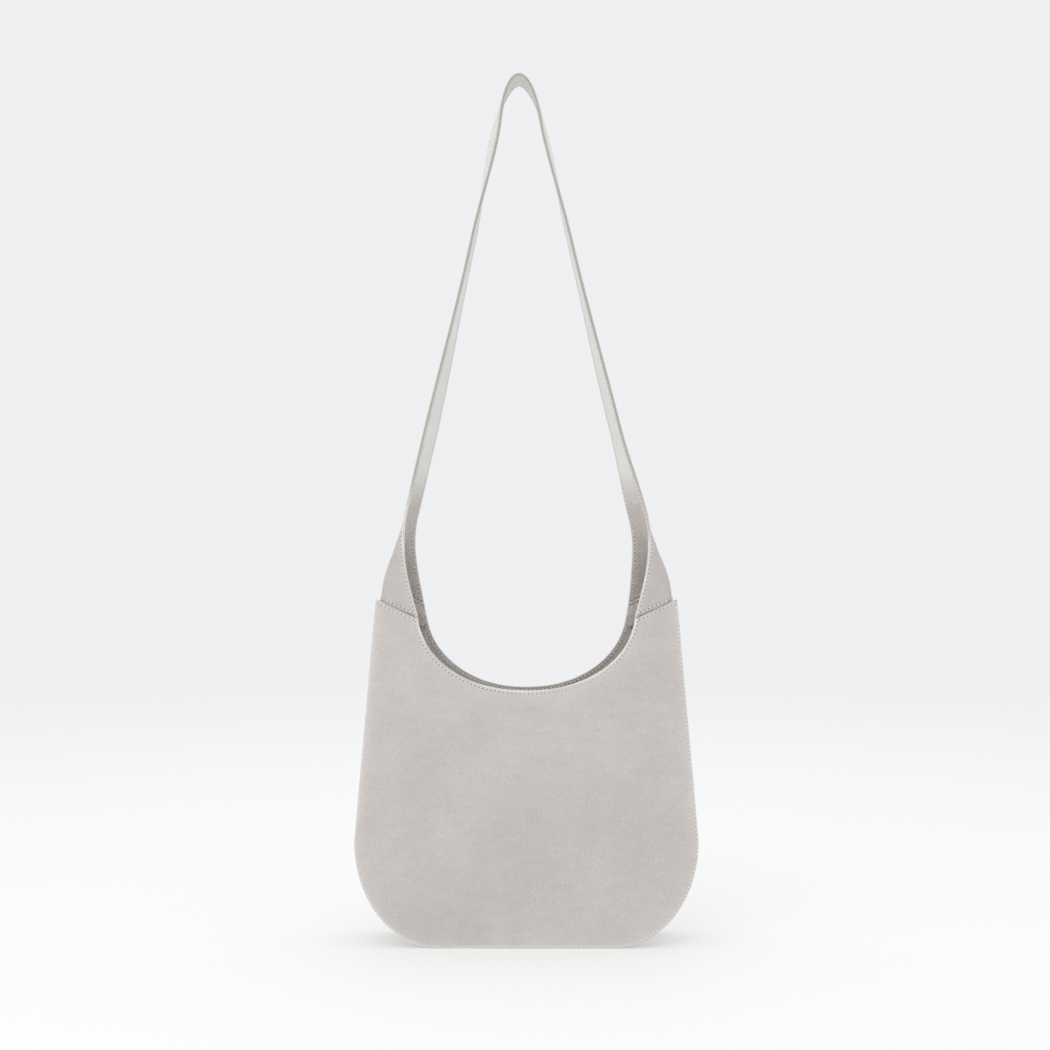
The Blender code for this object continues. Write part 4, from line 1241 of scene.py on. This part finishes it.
# A lapped end in the yoke lining, and the rows that draw it
LAP_HEIGHT = 0.0125
LAP_STEPS = [-0.0022, -0.0016, -0.0012, -0.0008, -0.0004, 0.0, 0.0004, 0.0008, 0.0014, 0.0030]


def yoke_levels():
    """Levels of a yoke's rows from 0 (seam) to 1 (strap), closer at the seam and at the lapped end."""
    near = [d / YOKE_RISE for d in reversed(SEAM_STEPS)]
    even = [mix(near[-1], 1.0, k / 32) for k in range(1, 33)]
    return sorted({*near, *even, *((LAP_HEIGHT + step) / YOKE_RISE for step in LAP_STEPS)})


YOKE_LEVELS = yoke_levels()
YOKE_ROWS = len(YOKE_LEVELS) - 1
# Where the strap's tone starts, and over what height it changes
TONE_HEIGHT = 0.395
TONE_SPREAD = 0.035


def band_grid():
    """Outer face of yokes and strap in one grid, from the right seam over the top to the left seam."""
    right = [yoke_row(1, level) for level in YOKE_LEVELS]
    left = [yoke_row(-1, level) * (-1, 1, 1) for level in reversed(YOKE_LEVELS)]
    flat = strap_rows()
    sections = right + flat[1:-1] + left
    found = [even_columns(row) for row in sections]
    grid = np.array([points for points, _ in found])
    distances = np.array([gaps for _, gaps in found])
    # Ease the change from folded yoke to flat strap
    for _ in range(10):
        smooth = grid.copy()
        smooth[1:-1] = (grid[:-2] + 2 * grid[1:-1] + grid[2:]) / 4
        for start in (YOKE_ROWS - 8, len(grid) - YOKE_ROWS - 9):
            grid[start:start + 17] = smooth[start:start + 17]
    faces = grid_normals(grid)
    top = len(grid) // 2
    if faces[top, grid.shape[1] // 2, 2] < 0:
        faces = -faces
    return grid, faces, distances


def make_band():
    """The strap's outer leather with both yokes, as one piece that bends at its roots."""
    z = sizes()
    grid, faces, distances = band_grid()
    groove = sewn_groove(distances)
    for row, level in enumerate(YOKE_LEVELS):
        roll = seam_roll(level * YOKE_RISE)
        groove[row] += roll
        groove[-1 - row] += roll
    outer = grid - faces * groove[:, :, None]
    inner = grid - faces * (z.leather + 0.4 * groove)[:, :, None]
    obj = leather_sheet("strap_and_yokes", outer, inner, wear_from(distances, 0.0028),
                        (strap_suede(), flesh_side(), strap_cut_edge()), painted=(1, 1))
    keep_tone(obj)
    blend_roots(obj)
    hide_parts("yoke_left", "yoke_right", "strap_outer", "strap_bend_outer_left",
                "strap_bend_outer_right")


def blend_roots(obj):
    low = HINGE_HEIGHT - BEND_HALF
    high = HINGE_HEIGHT + BEND_HALF
    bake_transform(obj, "bag", "strap", start=(0.0, 0.0, low), end=(0.0, 0.0, high))


def lining_rows():
    """The band's lining: under the outer leather, then a tab below each seam over the bag's own lining."""
    z = sizes()
    grid, faces, distances = band_grid()
    under = z.leather + 0.0001
    depth = np.full(len(grid), under)
    for k, level in enumerate(YOKE_LEVELS):
        depth[k] = mix(TAB_DEPTH, under, smoothstep(level * YOKE_RISE / STEP_HEIGHT))
        depth[len(grid) - 1 - k] = depth[k]
    outer = grid - faces * depth[:, None, None]
    rounding = 0.006
    across = distances[0]
    tab_rows = 7

    def tab(edge, face, drop_share):
        from_round = np.maximum(0.0, rounding - across)
        reach = TAB - (rounding - np.sqrt(np.maximum(0.0, rounding ** 2 - from_round ** 2)))
        moved = edge - face * TAB_DEPTH
        moved[:, 2] -= drop_share * reach
        return moved

    first = [tab(grid[0], faces[0], (tab_rows - k) / tab_rows) for k in range(tab_rows)]
    last = [tab(grid[-1], faces[-1], (k + 1) / tab_rows) for k in range(tab_rows)]
    outer = np.concatenate([np.array(first), outer, np.array(last)])
    faces, gaps = (
        np.concatenate([np.repeat(rows[:1], tab_rows, 0), rows, np.repeat(rows[-1:], tab_rows, 0)])
        for rows in (faces, distances)
    )
    return outer, faces, gaps


def keep_tone(obj):
    """A point attribute that runs from 0 at the yokes to 1 along the strap."""
    heights = np.empty(3 * len(obj.data.vertices), np.float32)
    obj.data.vertices.foreach_get("co", heights)
    tones = np.clip((heights[2::3] - TONE_HEIGHT) / TONE_SPREAD, 0.0, 1.0)
    obj.data.attributes.new("tone", "FLOAT", "POINT").data.foreach_set("value", tones)


def make_band_lining():
    z = sizes()
    outer, faces, distances = lining_rows()
    groove = sewn_groove(distances, 0.00025)
    wear = wear_from(distances, 0.0028)
    tab_rows = (len(outer) - len(band_grid()[0])) // 2
    for k, level in enumerate(YOKE_LEVELS):
        above = level * YOKE_RISE - LAP_HEIGHT
        lip = math.exp(-(((above + 0.0013) / 0.0006) ** 2))
        step = 0.0007 * math.exp(-((above / 0.0007) ** 2)) - 0.0007 * lip
        for row in (tab_rows + k, len(outer) - 1 - tab_rows - k):
            groove[row] += step
            wear[row] = np.maximum(wear[row], lip)
    inner = outer - faces * (z.strap_lining - groove)[:, :, None]
    obj = leather_sheet("strap_and_yoke_lining", outer, inner, wear,
                        (flesh_side(), strap_lining_suede(), strap_cut_edge()))
    keep_tone(obj)
    blend_roots(obj)
    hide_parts("yoke_lining_left", "yoke_lining_right", "strap_lining", "strap_bend_lining_left",
                "strap_bend_lining_right")


def band_guides():
    """Stitch lines along both edges of the band, outside and inside, and above each shoulder seam."""
    z = sizes()
    grid, faces, _ = band_grid()
    inset = z.stitch_inset
    column = int(np.argmin(np.abs(np.array(BAND_STEPS) - inset)))
    guides = []
    total = z.leather + z.strap_lining + 0.0001
    for j in (column, grid.shape[1] - 1 - column):
        guides.append((grid[:, j] - faces[:, j] * THREAD_SINK, faces[:, j]))
        deep = grid[12:-12, j] - faces[12:-12, j] * (total - 0.00022)
        guides.append((deep, -faces[12:-12, j]))
    row = int(np.argmin(np.abs(np.array(YOKE_LEVELS) * YOKE_RISE - 0.0027)))
    for index in (row, len(grid) - 1 - row):
        line = grid[index, column:-column]
        guides.append((line - faces[index, column:-column] * 0.00008, faces[index, column:-column]))
    row = int(np.argmin(np.abs(np.array(YOKE_LEVELS) * YOKE_RISE - LAP_HEIGHT - LAP_STEPS[-1])))
    for index in (row, len(grid) - 1 - row):
        face = faces[index, column:-column]
        guides.append((grid[index, column:-column] - face * (total - 0.0001), -face))
    return guides


# ---------------------------------------------------------------- snap and zip


SNAP_HEIGHT = 0.195
COIL_PITCH = 0.0012
COIL_DEPTH = -0.0009
SNAP_RADIUS = (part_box("snap_stud")[1][0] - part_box("snap_stud")[0][0]) / 2


def snap_profile(boss):
    """Turned outline of a snap half from its back to the middle of its face."""
    low = 0.0006
    thick = 0.0022
    top = low + thick
    lip = 0.0005
    profile = [(0.0, -0.0015), (0.0018, -0.0015), (0.0018, low), (SNAP_RADIUS - 0.0002, low)]
    for step in range(5):
        angle = math.pi / 2 * step / 4
        profile.append((SNAP_RADIUS - lip + lip * math.cos(angle), top - lip + lip * math.sin(angle)))
    profile += [(0.0068, top), (0.0064, top - 0.0003), (0.0050, top - 0.0003)]
    if boss:
        profile += [(0.0036, top - 0.0003), (0.0032, top), (0.0032, top + 0.0011), (0.0029, top + 0.0014)]
        return profile + [(0.0, top + 0.0014)]
    profile += [(0.0044, top), (0.0038, top), (0.0036, top - 0.0003), (0.0036, top - 0.0014)]
    return profile + [(0.0, top - 0.0014)]


def zip_frame():
    return lining_frame(0.0, ZIP_HEIGHT, BACK)


def make_welt():
    """Leather frame round the zip, with a stitched outer and inner edge."""
    place = zip_frame()
    low, high = 0.0003, 0.0013
    obj = box_mesh("pocket_welt_suede", place, (-WELT_HALF, -WELT_RISE, low), (WELT_HALF, WELT_RISE, high),
                   (body_suede(),), 0.00045)
    cut_slot(obj, 0.002)
    finish_piece(obj, "bag", "suede_outer", "pocket_welt")
    guides = []
    inward = np.array(place.to_3x3() @ Vector((0.0, 0.0, 1.0)))
    outer_row = (WELT_HALF - 0.0022, WELT_RISE - 0.0022)
    inner_row = (SLOT_HALF_LENGTH + 0.0020, SLOT_HALF + 0.0020)
    for gap_x, gap_y in (outer_row, inner_row):
        corners = [(-gap_x, -gap_y), (gap_x, -gap_y), (gap_x, gap_y), (-gap_x, gap_y), (-gap_x, -gap_y)]
        points = [place @ Vector((a, b, high + 0.00002)) for a, b in corners]
        guides.append((np.array(points), np.array([inward] * 5)))
    return guides


def make_coils():
    """The zip's two coils as rows of rounded loops on a core."""
    place = zip_frame()
    inward = np.array(place.to_3x3() @ Vector((0.0, 0.0, 1.0)))
    half = SLOT_HALF_LENGTH - 0.0003
    coil = material("zip_coil", woven, base=[1.05 * c for c in colours().tape], pitch=COIL_PITCH)
    loop = {"Pitch": COIL_PITCH, "Length": 0.0009, "Width": 0.0017, "Height": 0.0014, "Shift": 0.0,
            "Lift": 0.0}
    for word, sign in (("upper", 1), ("lower", -1)):
        line = [place @ Vector((x, sign * 0.0014, COIL_DEPTH)) for x in np.linspace(-half, half, 60)]
        guide = (np.array(line), np.array([inward] * 60))
        teeth = row_along("zip_coil_%s_loops" % word, [guide], loop, coil)
        finish_piece(teeth, "bag", "zip_coil", "zip_coil_" + word)


# ---------------------------------------------------------------- operators


class HOBO_OT_panels(bpy.types.Operator):
    """Front and back panel of suede with rounded, stitched edges"""

    bl_idname = "hobo.panels"
    bl_label = "Panels"

    def execute(self, context):
        for word in SIDES:
            make_panel(word)
        return {"FINISHED"}


class HOBO_OT_gusset(bpy.types.Operator):
    """Gusset halves between the panels"""

    bl_idname = "hobo.gusset"
    bl_label = "Gusset"

    def execute(self, context):
        for word in ENDS:
            make_gusset(word)
        return {"FINISHED"}


class HOBO_OT_linings(bpy.types.Operator):
    """Suede inside the bag"""

    bl_idname = "hobo.linings"
    bl_label = "Linings"

    def execute(self, context):
        for word in SIDES:
            make_lining(word)
        for word in ENDS:
            make_gusset_lining(word)
        return {"FINISHED"}


class HOBO_OT_strap(bpy.types.Operator):
    """Strap and yokes, outside and lining"""

    bl_idname = "hobo.strap"
    bl_label = "Strap and yokes"

    def execute(self, context):
        make_band()
        make_band_lining()
        return {"FINISHED"}


class HOBO_OT_fittings(bpy.types.Operator):
    """Magnetic snap and zip pocket"""

    bl_idname = "hobo.fittings"
    bl_label = "Snap and zip"

    def execute(self, context):
        metal = material("satin_metal", satin_metal)
        tape = material("zip_tape", woven, base=colours().tape, pitch=0.0006)
        for name, side, boss in (("snap_stud", FRONT, True), ("snap_socket", BACK, False)):
            place = lining_frame(0.0, SNAP_HEIGHT, side)
            obj = turned(name + "_metal", snap_profile(boss), place, (metal,))
            finish_piece(obj, "bag", "metal", name)
        for obj in sew("welt", make_welt()):
            finish_piece(obj, "bag", "suede_outer")
        make_coils()
        plain = {
            "base_board": material("board", woven, base=(0.20, 0.18, 0.15), pitch=0.003),
            "pocket_bag": material("pocket_cloth", woven, base=(0.36, 0.34, 0.31), pitch=0.0008),
            "zip_tape_upper": tape,
            "zip_tape_lower": tape,
        }
        for name in ("snap_stud_washer", "snap_socket_washer", "zip_stop_start", "zip_stop_end", "zip_slider",
                     "zip_pull"):
            plain[name] = metal
        for name, look in plain.items():
            for slot in frame["nodes"][name].material_slots:
                slot.material = look
        return {"FINISHED"}


class HOBO_OT_stitching(bpy.types.Operator):
    """Thread and needle holes along every seam"""

    bl_idname = "hobo.stitching"
    bl_label = "Stitching"

    def execute(self, context):
        for obj in sew("bag_seams", bag_guides()):
            finish_piece(obj, "bag", "suede_outer")
        for obj in sew("strap_seams", band_guides()):
            blend_roots(obj)
        return {"FINISHED"}


FLOOR_RADIUS = 4.0
FLOOR_HEIGHT = -0.0006
BACKDROP = (0.8617, 0.8665, 0.8816, 1.0)
# Name, place, target, size and power of each light
LIGHTS = (
    ("key", (-0.6, -1.5, 1.5), (0.0, 0.0, 0.2), 1.4, 6.5),
    ("top", (0.1, 0.1, 2.2), (0.0, 0.0, 0.0), 2.0, 9.0),
)
CAMERA_DISTANCE = 1.5
FRAME_WIDTH = 0.945
CAMERA_HEIGHT = 0.3807
CAMERA_SIDE = -0.00135
SENSOR = 36.0


def add_light(name, place, target, size, power):
    data = bpy.data.lights.new(name, "AREA")
    data.size = size
    data.energy = power
    obj = bpy.data.objects.new(name, data)
    obj.location = place
    obj.rotation_euler = (Vector(target) - Vector(place)).to_track_quat("-Z", "Y").to_euler()
    bpy.context.scene.collection.objects.link(obj)


class HOBO_OT_stage(bpy.types.Operator):
    """Pale floor, soft light and the camera"""

    bl_idname = "hobo.stage"
    bl_label = "Stage"

    def execute(self, context):
        scene = context.scene
        builder = bmesh.new()
        bmesh.ops.create_circle(builder, cap_ends=True, segments=96, radius=FLOOR_RADIUS)
        mesh = bpy.data.meshes.new("floor")
        builder.to_mesh(mesh)
        builder.free()
        floor = link("floor", mesh, (material("studio_floor", studio_floor),))
        floor.location.z = FLOOR_HEIGHT
        world = bpy.data.worlds.new("studio")
        world.use_nodes = True
        background = world.node_tree.nodes["Background"]
        background.inputs["Color"].default_value = BACKDROP
        background.inputs["Strength"].default_value = 1.0
        scene.world = world
        for light in LIGHTS:
            add_light(*light)
        scene.view_settings.view_transform = "Standard"
        scene.view_settings.look = "None"
        camera = bpy.data.objects.new("camera", bpy.data.cameras.new("camera"))
        camera.data.sensor_width = SENSOR
        camera.data.lens = SENSOR * CAMERA_DISTANCE / FRAME_WIDTH
        camera.location = (CAMERA_SIDE, PANEL_BOX[0][1] - CAMERA_DISTANCE, CAMERA_HEIGHT)
        camera.rotation_euler = (math.pi / 2, 0.0, 0.0)
        scene.collection.objects.link(camera)
        scene.camera = camera
        return {"FINISHED"}


OPERATORS = (
    HOBO_OT_stage,
    HOBO_OT_panels,
    HOBO_OT_gusset,
    HOBO_OT_linings,
    HOBO_OT_strap,
    HOBO_OT_fittings,
    HOBO_OT_stitching,
)


class HOBO_PT_bag(bpy.types.Panel):
    """Pieces, sizes and colours of the bag"""

    bl_label = "Hobo Bag"
    bl_idname = "HOBO_PT_bag"
    bl_space_type = "VIEW_3D"
    bl_region_type = "UI"
    bl_category = "Hobo Bag"

    def draw(self, context):
        for operator in OPERATORS:
            self.layout.operator(operator.bl_idname)
        for group in (context.scene.hobo_sizes, context.scene.hobo_colours):
            column = self.layout.column(align=True)
            for name in group.__annotations__:
                column.prop(group, name)


CLASSES = (HoboSizes, HoboColours, *OPERATORS, HOBO_PT_bag)


def register():
    for cls in CLASSES:
        bpy.utils.register_class(cls)
    bpy.types.Scene.hobo_sizes = PointerProperty(type=HoboSizes)
    bpy.types.Scene.hobo_colours = PointerProperty(type=HoboColours)


def unregister():
    del bpy.types.Scene.hobo_colours
    del bpy.types.Scene.hobo_sizes
    for cls in reversed(CLASSES):
        bpy.utils.unregister_class(cls)


def main():
    register()
    for operator in OPERATORS:
        getattr(bpy.ops.hobo, operator.bl_idname.split(".")[1])()


if __name__ == "__main__":
    main()
